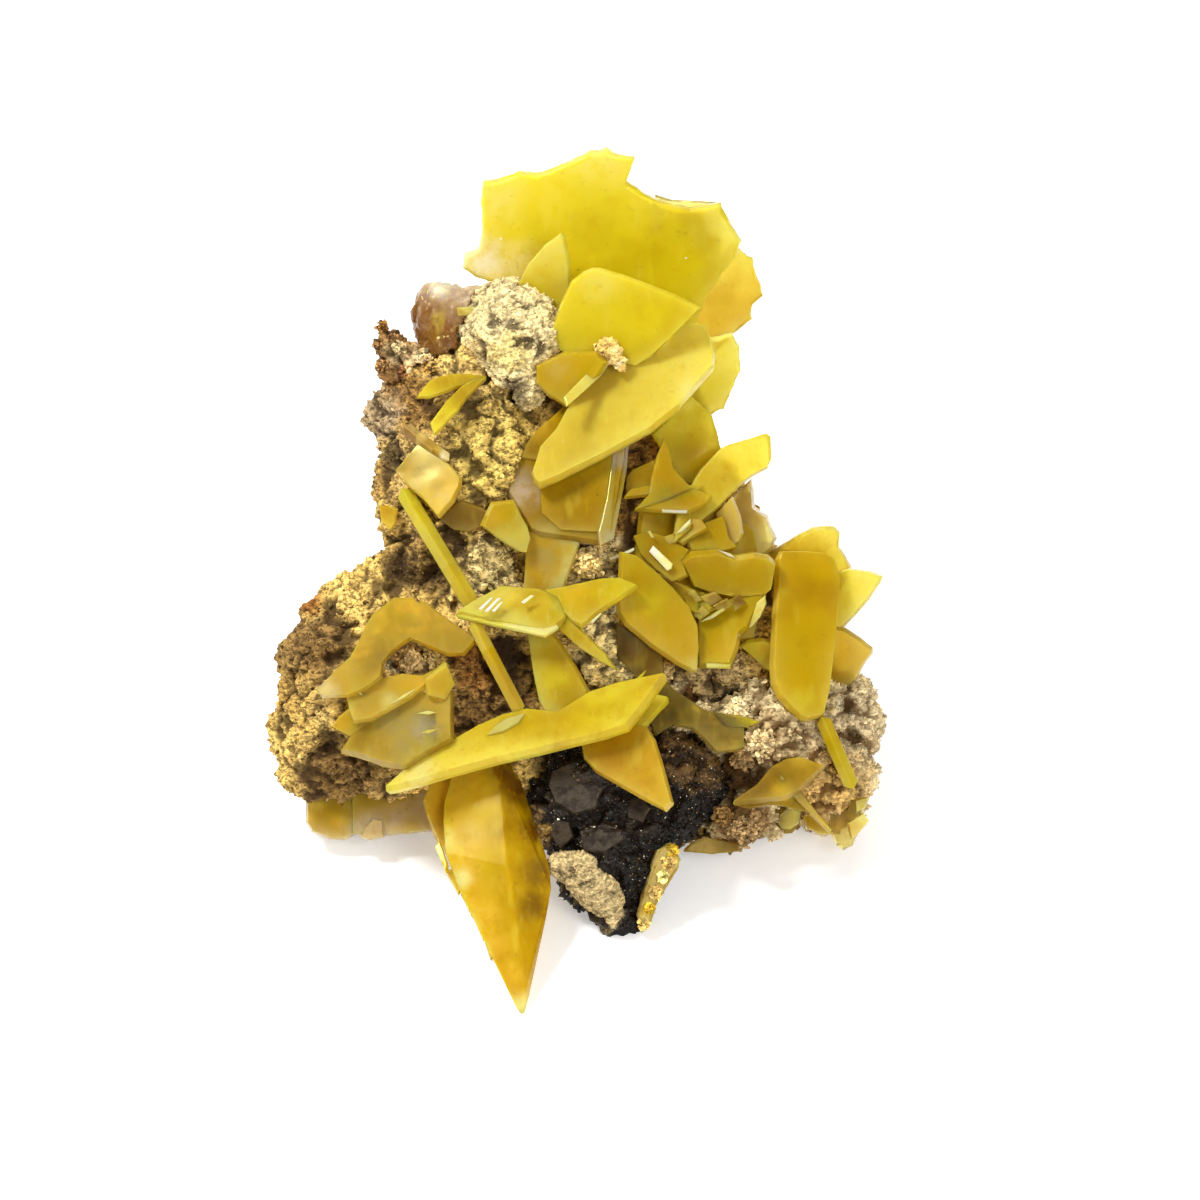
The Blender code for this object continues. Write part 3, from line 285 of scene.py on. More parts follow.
        Plate(7.4, (0.15, -0.2), 1.3, 0.4, [(633, 537), (648, 531), (668, 538), (690, 551), (684, 562),
            (688, 576), (672, 584), (655, 571), (640, 556)]),
        Plate(7.3, (-0.1, 0.35), 1.9, 0.6, [(680, 560), (690, 552), (716, 550), (735, 556), (752, 553),
            (768, 556), (775, 562), (771, 587), (763, 594), (735, 596), (710, 592), (692, 585)]),
        Plate(7.2, (0.1, -0.4), 1.9, 0.7, [(697, 620), (722, 607), (735, 600), (765, 596), (762, 606),
            (750, 625), (740, 636), (738, 648), (730, 667), (698, 667), (696, 650)]),
    ]),
    "brown_under_plate": Crystal("amber",
        Look("bronze", "brown_amber", (650, 670), (625, 640), 0.5, 0.02, []), [
        Plate(8.8, (-0.05, 0.0), 1.0, 0.35, [(616, 622), (640, 636), (662, 650), (664, 672), (640, 682),
            (616, 656)]),
    ]),
    "upper_back_plate": Crystal("amber",
        Look("lemon", "mustard", (700, 420), (690, 470), 0.35, 0.03, []), [
        Plate(2.9, (-0.3, 0.15), 1.5, 0.5, [(690, 395), (711, 414), (716, 430), (720, 449), (715, 472),
            (700, 487), (680, 482), (664, 455), (650, 434), (675, 408)]),
    ]),
    "small_standing_plate": Crystal("tan", Look("straw", "sand", (735, 500), (730, 545), 0.3, 0.02, []), [
        Plate(5.4, (0.3, 0.1), 1.2, 0.4, [(716, 513), (732, 497), (740, 517), (743, 534), (740, 542),
            (731, 548), (720, 535)]),
    ]),
    "tan_back_crystal": Crystal("tan", Look("cream", "sand", (770, 540), (755, 500), 0.4, 0.08, []), [
        Plate(0.8, (0.0, 0.0), 2.8, 1.1, [(752, 477), (754, 490), (755, 507), (768, 515), (777, 538),
            (773, 550), (765, 556), (740, 560), (715, 540), (725, 505)]),
    ]),
    "big_right_plate": Crystal("lemon", Look("mustard", "gold", (810, 700), (800, 560), 0.35, 0.04, [
        ("mustard", (830, 640), 2.5), ("mustard", (790, 660), 3.0), ("amber", (800, 590), 3.0),
        ("lemon", (800, 700), 1.6)]), [
        Plate(6.3, (-0.3, -0.25), 1.9, 0.7, [(774, 560), (778, 552), (800, 551), (822, 553), (833, 560),
            (838, 575), (838, 600), (833, 650), (828, 690), (822, 715), (815, 718), (804, 721),
            (797, 718), (788, 710), (776, 697), (770, 685), (768, 665), (771, 615), (773, 590)]),
    ]),
    "right_cluster_back_plate": Crystal("pale_lemon",
        Look("butter", "amber", (835, 530), (790, 565), 0.4, 0.05, []), [
        Plate(-0.2, (-0.15, 0.4), 1.4, 0.5, [(768, 553), (785, 543), (800, 534), (812, 528), (825, 526),
            (835, 527), (840, 532), (839, 546), (846, 556), (852, 567), (838, 600), (800, 610),
            (770, 600)]),
    ]),
    "right_triangle_plate": Crystal("lemon",
        Look("pale_lemon", "lemon", (878, 580), (820, 610), 0.4, 0.03, []), [
        Plate(2.4, (0.28, 0.0), 1.4, 0.5, [(785, 585), (830, 574), (850, 568), (870, 571), (882, 576),
            (880, 582), (868, 600), (855, 615), (843, 628), (825, 632), (785, 625)]),
    ]),
    "tan_lower_right_plate": Crystal("tan",
        Look("straw", "honey", (868, 660), (830, 650), 0.4, 0.03, []), [
        Plate(2.6, (0.2, 0.25), 1.4, 0.5, [(815, 622), (845, 628), (860, 638), (872, 648), (872, 653),
            (865, 662), (858, 675), (852, 683), (838, 690), (812, 690), (808, 640)]),
    ]),
    "right_cluster_small_plate": Crystal("lemon",
        Look("lemon", "amber", (755, 655), (785, 645), 0.35, 0.02, []), [
        Plate(5.6, (0.1, 0.35), 1.3, 0.4, [(740, 645), (746, 640), (762, 638), (780, 645), (797, 655),
            (790, 664), (775, 670), (765, 668), (752, 656)]),
    ]),
    "thin_lower_blade": Crystal("lemon",
        Look("sharp_lemon", "mustard", (848, 780), (825, 725), 0.35, 0.01, []), [
        Blade((820, 716), (852, 788), (8.2, 6.6), 1.5, 4.5),
    ]),
    "lower_right_group": Crystal("honey", Look("old_gold", "bronze", (815, 765), (750, 795), 0.4, 0.03, [
        ("honey", (800, 755), 1.4), ("honey", (780, 790), 1.4)]), [
        Plate(9.4, (0.1, -0.5), 1.2, 0.45, [(732, 802), (740, 795), (755, 785), (770, 767), (785, 759),
            (800, 757), (823, 766), (812, 777), (800, 789), (785, 798)]),
        Plate(8.8, (0.0, 0.3), 1.1, 0.4, [(732, 802), (748, 807), (765, 803), (780, 804), (815, 812),
            (800, 793), (775, 788)]),
        Plate(9.2, (-0.1, 0.0), 1.2, 0.25, [(777, 772), (788, 780), (802, 793), (815, 810), (830, 828),
            (828, 832), (812, 817), (795, 800), (781, 787)]),
    ]),
    "lower_right_small_plate": Crystal("honey",
        Look("straw", "old_gold", (825, 830), (805, 815), 0.4, 0.03, []), [
        Plate(5.6, (0.0, -0.1), 1.0, 0.35, [(802, 815), (815, 811), (826, 820), (832, 834), (820, 834),
            (806, 828)]),
    ]),
    "lower_right_clear_plates": Crystal("tan",
        Look("cream", "sand", (858, 830), (840, 810), 0.6, 0.06, []), [
        Plate(3.0, (0.0, -0.1), 1.6, 0.6, [(840, 808), (858, 806), (866, 820), (858, 832), (852, 845),
            (843, 850), (835, 844), (828, 830), (828, 812)]),
        Plate(3.2, (0.0, 0.0), 1.2, 0.4, [(850, 796), (868, 796), (866, 806), (858, 816), (846, 812)]),
    ]),
    "big_tan_plate": Crystal("tan", Look("straw", "old_gold", (440, 730), (350, 745), 0.45, 0.04, [
        ("honey", (440, 700), 2.0), ("rose_smoke", (424, 728), 1.8), ("smoke", (395, 720), 2.2),
        ("smoke", (405, 745), 1.6)]), [
        Plate(10.8, (0.15, -0.35), 2.2, 0.9, [(455, 690), (456, 741), (430, 755), (409, 769), (385, 765),
            (362, 757), (343, 752), (350, 740), (357, 728), (372, 714), (395, 704), (420, 690),
            (443, 697)]),
        Plate(11.7, (0.25, -0.3), 1.0, 0.25, [(397, 753), (402, 738), (413, 722), (419, 712), (438, 713),
            (439, 724), (427, 733), (440, 731), (439, 744), (424, 752), (410, 759)]),
    ]),
    "arched_plate": Crystal("tan", Look("honey", "old_gold", (400, 605), (440, 640), 0.45, 0.04, [
        ("milk", (326, 690), 2.0), ("mustard", (395, 620), 2.6), ("bronze", (385, 660), 2.4),
        ("straw", (350, 668), 1.6)]), [
        Plate(10.6, (0.1, -0.3), 1.4, 0.5, [(319, 690), (340, 668), (352, 657), (362, 638), (367, 626),
            (374, 615), (396, 598), (416, 598), (420, 603), (427, 602), (440, 612), (470, 633),
            (479, 640), (466, 655), (450, 656), (430, 648), (412, 640), (398, 650), (386, 664),
            (384, 678), (368, 690), (352, 697), (336, 697), (325, 698)]),
    ]),
    "lens_plate": Crystal("tan", Look("honey", "straw", (420, 680), (365, 705), 0.4, 0.03, [
        ("cream", (392, 700), 1.2)]), [
        Plate(10.9, (0.1, -0.4), 1.2, 0.3, [(352, 712), (348, 695), (346, 676), (352, 668), (358, 682),
            (368, 691), (384, 679), (405, 674), (425, 676), (441, 668), (430, 684), (415, 697),
            (395, 708), (372, 720), (356, 722)]),
    ]),
    "spear_plate": Crystal("lemon", Look("butter", "honey", (450, 660), (435, 690), 0.4, 0.02, []), [
        Plate(11.6, (-0.3, 0.2), 1.2, 0.4, [(447, 661), (456, 682), (446, 699), (428, 694), (427, 678)]),
    ]),
    "left_yellow_wedge": Crystal("lemon",
        Look("honey", "old_gold", (345, 720), (360, 730), 0.4, 0.02, []), [
        Plate(10.8, (0.0, 0.0), 1.1, 0.4, [(334, 726), (341, 715), (352, 706), (372, 716), (364, 728),
            (352, 736)]),
    ]),
    "left_clear_plates": Crystal("tan",
        Look("rose_smoke", "old_gold", (400, 835), (370, 790), 0.35, 0.05, [("honey", (335, 822), 1.6),
            ("straw", (412, 828), 1.6), ("rose_smoke", (370, 826), 1.8)]), [
        Plate(1.6, (0.0, 0.0), 1.8, 0.7, [(306, 800), (306, 822), (312, 832), (330, 839), (345, 840),
            (358, 834), (360, 785), (320, 785)]),
        Plate(1.9, (0.0, 0.0), 1.8, 0.7, [(350, 780), (352, 835), (384, 836), (432, 831), (440, 800),
            (445, 770)]),
        Plate(3.0, (0.0, 0.0), 1.2, 0.4, [(374, 818), (383, 820), (385, 837), (370, 840), (361, 837),
            (366, 826)]),
    ]),
    "spike_side_plate": Crystal("honey",
        Look("honey", "deep_honey", (430, 790), (440, 840), 0.35, 0.06, []), [
        Plate(7.9, (0.0, -0.44), 1.6, 0.5, [(424, 800), (430, 785), (440, 768), (475, 765), (475, 845),
            (446, 850), (440, 845), (434, 832), (428, 815)]),
    ]),
    "ore_edge_strip": Crystal("tan", Look("sand", "bronze", (668, 850), (640, 925), 0.3, 0.12, [
        ("cream", (672, 855), 1.0), ("cream", (645, 915), 0.9)]), [
        Plate(10.2, (-0.2, 0.0), 2.0, 0.6, [(654, 846), (670, 840), (680, 857), (677, 868), (668, 882),
            (656, 902), (650, 922), (641, 930), (636, 912), (641, 888), (648, 866)]),
    ]),
}

# Small crystals, facets and splinters that stand by themselves or on the big ones, and thin pale slivers
# that paint glints.
SMALL_CRYSTALS = {
    # A thin plate over the long blade's upper band, in deeper colours: painted shade on that band.
    "blade_upper_facet": Crystal("lemon", Look("mustard", "old_gold", (470, 740), (545, 720), 0.3, 0.02, [
        ("butter", (480, 738), 1.6)]), [
        Plate(12.6, (0.38, -0.8), 0.5, 0.1, [(456, 741), (480, 727), (505, 716), (530, 710), (560, 713),
            (562, 722), (556, 730), (520, 736), (480, 742)]),
    ]),
    "blade_small_lens": Crystal("lemon", Look("cream", "lemon", (500, 722), (500, 736), 0.4, 0.02, []), [
        Plate(12.75, (0.38, -0.8), 0.5, 0.15, [(488, 735), (496, 726), (508, 718), (526, 713), (520, 722),
            (505, 731)]),
    ]),
    "smoky_amber_face": Crystal("amber",
        Look("amber", "deep_amber", (560, 460), (580, 525), 0.35, 0.0, []), [
        Plate(7.75, (0.08, -0.35), 0.5, 0.1, [(541, 488), (560, 478), (612, 455), (607, 500), (600, 533),
            (580, 532), (561, 531), (542, 514)]),
    ]),
    # Its pale rose colour and milk spot are a painted highlight on the smoky plate's bright right bevel.
    "smoky_side_facet": Crystal("amber", Look("rose_smoke", "mustard", (620, 455), (612, 485), 0.4, 0.0, [
        ("milk", (608, 538), 1.0)]), [
        Plate(7.6, (-0.5, -0.3), 0.5, 0.08, [(612, 455), (628, 444), (626, 470), (620, 504), (613, 540),
            (600, 546), (598, 533), (606, 500)]),
    ]),
    # Its milk colour is a painted highlight on the smoky plate's bright foot facets.
    "smoky_foot_facet": Crystal("smoky", Look("milk", "smoke", (590, 540), (545, 535), 0.5, 0.02, []), [
        Plate(7.5, (0.1, -0.9), 0.4, 0.05, [(540, 531), (560, 532), (598, 535), (598, 545), (580, 543),
            (556, 539)]),
    ]),
    # Its cream colour is a painted highlight on the small bevelled plate's bright lower right bevel.
    "bevelled_plate_facet": Crystal("lemon",
        Look("cream", "butter", (600, 365), (570, 400), 0.3, 0.0, []), [
        Plate(7.1, (-0.5, -0.7), 0.4, 0.05, [(600, 361), (610, 364), (600, 378), (585, 392), (567, 408),
            (564, 399), (580, 382)]),
    ]),
    # Its cream colour is a painted highlight on the crossed plates' bright bottom bevel.
    "crossed_lower_facet": Crystal("lemon",
        Look("cream", "butter", (520, 618), (500, 628), 0.3, 0.0, []), [
        Plate(12.5, (0.0, -1.0), 0.4, 0.05, [(458, 616), (480, 611), (520, 613), (553, 620), (559, 628),
            (546, 636), (500, 626)]),
    ]),
    "rosette_white_bar": Crystal("pale_lemon",
        Look("milk", "cream", (650, 548), (670, 570), 0.1, 0.0, []), [
        Plate(8.7, (0.3, 0.0), 0.5, 0.1, [(649, 552), (653, 546), (672, 564), (671, 569), (667, 571)]),
    ]),
    "rosette_left_bar": Crystal("pale_lemon",
        Look("milk", "rose_smoke", (632, 549), (612, 560), 0.2, 0.0, []), [
        Plate(8.2, (0.0, 0.0), 0.4, 0.08, [(609, 558), (622, 553), (634, 548), (634, 551), (622, 557),
            (610, 561)]),
    ]),
    "rosette_glints": Crystal("pale_lemon",
        Look("milk", "butter", (690, 520), (675, 540), 0.3, 0.0, []), [
        Plate(8.2, (0.2, -0.4), 0.35, 0.06, [(675, 535), (683, 526), (690, 520), (690, 524), (682, 532)]),
        Plate(8.0, (0.0, -0.5), 0.3, 0.05, [(661, 510), (675, 511), (687, 511), (686, 514), (662, 513)]),
        Plate(8.4, (0.1, -0.4), 0.3, 0.05, [(700, 622), (712, 614), (724, 607), (724, 610), (712, 618)]),
        Plate(8.5, (0.0, 0.0), 0.3, 0.05, [(716, 550), (730, 554), (734, 558), (728, 557)]),
        Plate(8.3, (0.0, 0.0), 0.3, 0.05, [(647, 532), (650, 531), (654, 538), (651, 538)]),
    ]),
    # Its cream colour is a painted highlight on the rosette block's bright bottom facet.
    "rosette_foot_facet": Crystal("lemon", Look("cream", "lemon", (712, 656), (728, 666), 0.3, 0.0, []), [
        Plate(8.6, (0.0, -1.0), 0.4, 0.08, [(702, 654), (728, 653), (733, 656), (729, 667), (706, 667)]),
    ]),
    "rosette_wing": Crystal("honey", Look("cream", "honey", (760, 600), (750, 626), 0.3, 0.08, []), [
        Plate(8.0, (0.3, 0.2), 0.5, 0.1, [(748, 628), (752, 615), (756, 602), (764, 595), (765, 604),
            (760, 616), (753, 625)]),
    ]),
    "rosette_small_plates": Crystal("amber",
        Look("mustard", "brown_amber", (700, 600), (660, 590), 0.4, 0.03, []), [
        Plate(8.0, (0.1, 0.4), 0.6, 0.15, [(640, 572), (660, 574), (682, 584), (700, 594), (690, 607),
            (672, 596), (650, 584)]),
        Plate(8.0, (-0.3, -0.3), 0.6, 0.15, [(682, 597), (700, 592), (722, 601), (716, 610), (700, 616),
            (688, 610)]),
        Plate(8.3, (0.3, -0.2), 0.5, 0.12, [(690, 605), (706, 600), (712, 608), (700, 620), (694, 616)]),
    ]),
    "rosette_shards": Crystal("amber", Look("straw", "brown_amber", (695, 592), (735, 606), 0.35, 0.06, [
        ("bronze", (712, 600), 0.9)]), [
        Plate(8.2, (0.5, 0.2), 0.4, 0.08, [(682, 588), (694, 590), (702, 600), (690, 604)]),
        Plate(8.4, (-0.4, 0.5), 0.4, 0.08, [(700, 597), (715, 592), (722, 599), (707, 606)]),
        Plate(8.3, (0.1, 0.3), 0.4, 0.08, [(712, 605), (726, 598), (733, 604), (720, 613)]),
        Plate(8.0, (-0.5, -0.2), 0.4, 0.08, [(728, 600), (738, 594), (745, 603), (734, 611)]),
        Plate(8.5, (0.3, 0.4), 0.4, 0.08, [(693, 613), (702, 605), (709, 612), (700, 621)]),
        Plate(7.9, (0.4, 0.3), 0.4, 0.08, [(664, 537), (673, 534), (678, 541), (668, 546)]),
    ]),
    "calcite_rod": Crystal("pale_lemon",
        Look("cream", "old_gold", (470, 308), (465, 318), 0.3, 0.0, []), [
        Plate(2.4, (0.0, 0.0), 0.9, 0.25, [(457, 308), (476, 307), (477, 316), (458, 317)]),
    ]),
    "tan_glints": Crystal("pale_lemon", Look("cream", "honey", (420, 700), (425, 735), 0.2, 0.0, []), [
        Plate(11.8, (0.0, -0.3), 0.6, 0.05, [(392, 704), (406, 694), (420, 687), (407, 697)]),
        Plate(11.7, (0.2, -0.3), 0.5, 0.05, [(418, 713), (430, 710), (439, 712), (430, 714)]),
        Plate(12.2, (0.2, -0.3), 0.6, 0.05, [(420, 733), (430, 729), (441, 728), (431, 733)]),
        Plate(10.8, (0.1, -0.3), 1.6, 0.1, [(356, 676), (359, 676), (362, 690), (366, 697), (361, 694)]),
    ]),
    "druse_curl": Crystal("honey", Look("cream", "sand", (795, 812), (780, 825), 0.4, 0.02, []), [
        Plate(4.5, (0.2, 0.1), 0.9, 0.3, [(777, 822), (780, 812), (790, 805), (800, 810), (799, 822),
            (790, 829), (781, 828)]),
    ]),
    "crossed_glints": Crystal("pale_lemon",
        Look("white", "cream", (480, 600), (600, 615), 0.2, 0.0, []), [
        Plate(13.3, (0.0, -0.3), 0.3, 0.05, [(480, 609), (492, 598), (494, 598), (483, 610)]),
        Plate(13.3, (0.0, -0.3), 0.3, 0.05, [(486, 611), (499, 598), (502, 598), (489, 612)]),
        Plate(13.3, (0.0, -0.3), 0.3, 0.05, [(493, 611), (502, 602), (504, 602), (496, 612)]),
        Plate(12.8, (0.0, -0.3), 0.3, 0.05, [(522, 602), (532, 595), (535, 596), (525, 604)]),
        Plate(12.6, (0.0, -0.3), 0.3, 0.05, [(590, 622), (600, 613), (602, 614), (593, 623)]),
    ]),
    "spike_fringe": Crystal("honey",
        Look("honey", "deep_honey", (470, 880), (490, 950), 0.35, 0.04, []), [
        Plate(12.4, (0.3, -0.44), 0.9, 0.2, [(437, 846), (442, 840), (450, 862), (448, 870)]),
        Plate(12.4, (0.0, -0.44), 0.9, 0.2, [(446, 868), (456, 868), (464, 886), (460, 892)]),
        Plate(12.4, (0.2, -0.44), 0.9, 0.2, [(462, 892), (472, 888), (478, 908), (473, 914)]),
        Plate(12.2, (0.0, -0.44), 0.9, 0.2, [(474, 914), (486, 908), (490, 930), (484, 937)]),
        Plate(12.0, (0.2, -0.44), 0.9, 0.2, [(484, 934), (494, 932), (497, 952), (492, 958)]),
    ]),
    "lower_right_base": Crystal("tan", Look("sand", "bronze", (700, 840), (770, 830), 0.45, 0.06, []), [
        Plate(4.0, (0.0, 0.2), 1.4, 0.3, [(683, 850), (690, 842), (704, 836), (724, 838), (740, 842),
            (738, 850), (712, 853)]),
        Plate(3.6, (0.0, 0.2), 1.4, 0.3, [(756, 812), (768, 803), (786, 806), (800, 822), (792, 832),
            (768, 834)]),
    ]),
    "lower_right_yellow_tips": Crystal("tan",
        Look("cream", "honey", (868, 815), (850, 830), 0.4, 0.04, []), [
        Plate(4.4, (0.2, 0.0), 0.8, 0.2, [(855, 800), (869, 796), (864, 808), (856, 812)]),
        Plate(4.0, (-0.2, 0.0), 0.9, 0.2, [(846, 822), (862, 812), (868, 820), (858, 832), (850, 838)]),
    ]),
}

# Broken faces that show through the ore's crust.
ORE_FACES = Crystal("dark_ore", Look("ore_sheen", "ore", (550, 770), (620, 850), 0.0, 0.09, []), [
    Plate(12.7, (0.12, -0.3), 0.7, 0.1, [(553, 770), (572, 762), (598, 768), (604, 785), (596, 806),
        (575, 812), (556, 800), (549, 784)]),
    Plate(13.15, (0.05, -0.45), 0.7, 0.1, [(580, 830), (598, 825), (620, 828), (624, 838), (604, 850),
        (584, 848)]),
    Plate(12.45, (-0.3, 0.1), 0.6, 0.1, [(606, 768), (622, 762), (634, 770), (628, 786), (610, 788)]),
    Plate(12.2, (0.45, 0.1), 0.6, 0.1, [(556, 816), (570, 820), (574, 834), (562, 846), (552, 832)]),
    Plate(10.5, (0.1, -0.2), 0.6, 0.1, [(586, 906), (604, 900), (616, 914), (606, 926), (590, 918)]),
    Plate(11.9, (0.3, -0.2), 0.6, 0.1, [(626, 800), (640, 794), (650, 806), (642, 820), (628, 816)]),
])


def on_sheet(right, down, depth_mm=0.0):
    """World place of a sheet point."""
    across = (right - SHEET_ZERO[0]) * SHEET_STEP
    along = (SHEET_ZERO[1] - down) * SHEET_STEP
    return RIGHT * across + UP * along + TOWARDS * (depth_mm * MM)


# ---------------------------------------------------------------- node helpers
def plug(tree, socket, value):
    """Give an input a value, or link a socket to it."""
    if isinstance(value, bpy.types.NodeSocket):
        tree.links.new(value, socket)
    else:
        socket.default_value = value


def add(tree, kind, inputs=None, **settings):
    """Add a shader node, set it up, and plug values or sockets into its inputs."""
    made = tree.nodes.new(kind)
    for name, value in settings.items():
        setattr(made, name, value)
    for name, value in (inputs or {}).items():
        plug(tree, made.inputs[name], value)
    return made


def figure(tree, operation, *values):
    """A Math node's result."""
    return add(tree, "ShaderNodeMath", dict(enumerate(values)), operation=operation).outputs[0]


def vector(tree, operation, first, second):
    """A Vector Math node's result."""
    made = add(tree, "ShaderNodeVectorMath", {0: first, 1: second}, operation=operation)
    return made.outputs["Value" if operation == "DOT_PRODUCT" else "Vector"]


def eased(tree, value, low, high, low_to=0.0, high_to=1.0):
    """A value brought smoothly from one span to another, and held at its ends."""
    made = add(tree, "ShaderNodeMapRange",
               {"Value": value, "From Min": low, "From Max": high, "To Min": low_to, "To Max": high_to},
               interpolation_type="SMOOTHSTEP")
    return made.outputs[0]


def blended(tree, share, under, over, how="MIX"):
    """Two colours mixed."""
    made = add(tree, "ShaderNodeMix", {"Factor": share}, data_type="RGBA", blend_type=how)
    plug(tree, made.inputs[6], under)
    plug(tree, made.inputs[7], over)
    return made.outputs[2]


def speckle(tree, point, size_mm, detail=2.0, rough=0.6):
    """Soft noise of a given size, from 0 to 1."""
    made = add(tree, "ShaderNodeTexNoise",
               {"Vector": point, "Scale": 1 / (size_mm * MM), "Detail": detail, "Roughness": rough})
    return made.outputs["Fac"]


def cell_tone(tree, cells):
    """The chance value, from 0 to 1, of each cell of a Voronoi node."""
    return add(tree, "ShaderNodeSeparateColor", {"Color": cells.outputs["Color"]}).outputs[0]


FLOAT, VECTOR = "NodeSocketFloat", "NodeSocketVector"
POINT = ("Point", VECTOR, None)


def effect(name, inputs, outputs):
    """An empty shader node group with named sockets, and its two end nodes."""
    tree = bpy.data.node_groups.new(name, "ShaderNodeTree")
    for label, kind, value in inputs:
        socket = tree.interface.new_socket(label, in_out="INPUT", socket_type=kind)
        if value is not None:
            socket.default_value = value
    for label in outputs:
        tree.interface.new_socket(label, in_out="OUTPUT", socket_type=FLOAT)
    return tree, tree.nodes.new("NodeGroupInput").outputs, tree.nodes.new("NodeGroupOutput").inputs


def zoning_effect():
    """Colour zoning of a crystal: 0 at its light end, 1 at its deep end, with soft wandering."""
    tree, given, result = effect(
        "colour_zoning", [POINT, ("From", VECTOR, None), ("Along", VECTOR, None), ("Wander", FLOAT, 0.3)],
        ["Mask"])
    run = vector(tree, "DOT_PRODUCT", vector(tree, "SUBTRACT", given["Point"], given["From"]),
                 given["Along"])
    cloud = speckle(tree, given["Point"], size_mm=2.6, detail=4.0, rough=0.6)
    centred = figure(tree, "SUBTRACT", cloud, 0.5)
    wandered = figure(tree, "MULTIPLY_ADD", centred, given["Wander"], run)
    plug(tree, result["Mask"], eased(tree, wandered, 0.0, 1.0))
    return tree


# How far a spot's edge wanders, and where it fades, as shares of its radius.
SPOT_WANDER = 0.6
SPOT_EDGE = (0.1, 1.25)


def spot_effect():
    """A soft-edged round patch, seen from the front of the specimen."""
    tree, given, result = effect(
        "soft_spot", [POINT, ("Centre", VECTOR, None), ("Radius", FLOAT, 0.001)], ["Mask"])
    away = vector(tree, "SUBTRACT", given["Point"], given["Centre"])
    across = vector(tree, "DOT_PRODUCT", away, tuple(RIGHT))
    along = vector(tree, "DOT_PRODUCT", away, tuple(UP))
    squares = figure(tree, "ADD", figure(tree, "MULTIPLY", across, across),
                     figure(tree, "MULTIPLY", along, along))
    distance = figure(tree, "DIVIDE", figure(tree, "SQRT", squares), given["Radius"])
    cloud = figure(tree, "SUBTRACT", speckle(tree, given["Point"], size_mm=1.6), 0.5)
    wandered = figure(tree, "MULTIPLY_ADD", cloud, SPOT_WANDER, distance)
    plug(tree, result["Mask"], eased(tree, wandered, *SPOT_EDGE, 1.0, 0.0))
    return tree


# Where a speck fades, as shares of the distance between specks.
SPECK_EDGE = (0.035, 0.06)


def speck_effect():
    """Tiny round specks: Size is how many millimetres apart they are, and only a Share of them shows."""
    tree, given, result = effect("specks", [POINT, ("Size", FLOAT, 1.9), ("Share", FLOAT, 0.1)], ["Mask"])
    strewn = add(tree, "ShaderNodeTexVoronoi",
                 {"Vector": given["Point"], "Scale": figure(tree, "DIVIDE", 1 / MM, given["Size"])})
    kept = figure(tree, "LESS_THAN", cell_tone(tree, strewn), given["Share"])
    dot = eased(tree, strewn.outputs["Distance"], *SPECK_EDGE, 1.0, 0.0)
    plug(tree, result["Mask"], figure(tree, "MULTIPLY", dot, kept))
    return tree


def face_effect():
    """A crystal face: fine growth marks for its relief, and a slow drift of its gloss."""
    tree, given, result = effect(
        "crystal_face", [POINT, ("Gloss", FLOAT, 0.15), ("Haze", FLOAT, 0.4)], ["Height", "Roughness"])
    plug(tree, result["Height"], speckle(tree, given["Point"], size_mm=0.6, detail=2.0, rough=0.5))
    patches = eased(tree, speckle(tree, given["Point"], size_mm=5.0, detail=1.0, rough=0.4), 0.2, 0.8)
    spread = figure(tree, "SUBTRACT", given["Haze"], given["Gloss"])
    plug(tree, result["Roughness"], figure(tree, "MULTIPLY_ADD", patches, spread, given["Gloss"]))
    return tree


# The grain is flaky blots with broad patches and crumbs among them: how each is scaled against the blots,
# and how much it adds to the pits, to the tone or to the height.
FLAKE_SHAPE = (0.7, 0.85, 1.35)
BROAD_SCALE, BROAD_SHARE = 0.3, 0.35
CRUMB_SCALE, CRUMB_TONE, CRUMB_HEIGHT = 1.3, 0.45, 0.5
BLOT_TONE = 0.8
GAP_EDGE = (0.59, 0.70)


def grain_effect():
    """Crust grain: flaky light crumbs lying mostly level, with pits between, which the crust paints in
    shade, at two sizes.
    """
    tree, given, result = effect(
        "crust_grain", [POINT, ("Size", FLOAT, 0.5)], ["Gaps", "Light", "Height"])
    flat = vector(tree, "MULTIPLY", given["Point"], FLAKE_SHAPE)
    scale = figure(tree, "DIVIDE", 1 / MM, given["Size"])
    blot = add(tree, "ShaderNodeTexNoise",
               {"Vector": flat, "Scale": scale, "Detail": 4.0, "Roughness": 0.8}).outputs["Fac"]
    broad = add(tree, "ShaderNodeTexNoise",
                {"Vector": flat, "Scale": figure(tree, "MULTIPLY", scale, BROAD_SCALE), "Detail": 2.0})
    crumbs = add(tree, "ShaderNodeTexVoronoi",
                 {"Vector": flat, "Scale": figure(tree, "MULTIPLY", scale, CRUMB_SCALE)})
    mixed = figure(tree, "MULTIPLY_ADD", broad.outputs["Fac"], BROAD_SHARE, blot)
    plug(tree, result["Gaps"], eased(tree, mixed, *GAP_EDGE, 1.0, 0.0))
    plug(tree, result["Light"], figure(tree, "MULTIPLY_ADD", cell_tone(tree, crumbs), CRUMB_TONE,
                                       figure(tree, "MULTIPLY", blot, BLOT_TONE)))
    sunk = figure(tree, "MULTIPLY", crumbs.outputs["Distance"], CRUMB_HEIGHT)
    plug(tree, result["Height"], figure(tree, "SUBTRACT", blot, sunk))
    return tree


ZONING, SPOT, SPECKS, FACE, GRAIN = (
    zoning_effect(), spot_effect(), speck_effect(), face_effect(), grain_effect())


def use(tree, group, **inputs):
    """Place an effect in a material and plug values or sockets into its inputs."""
    return add(tree, "ShaderNodeGroup", inputs, node_tree=group).outputs


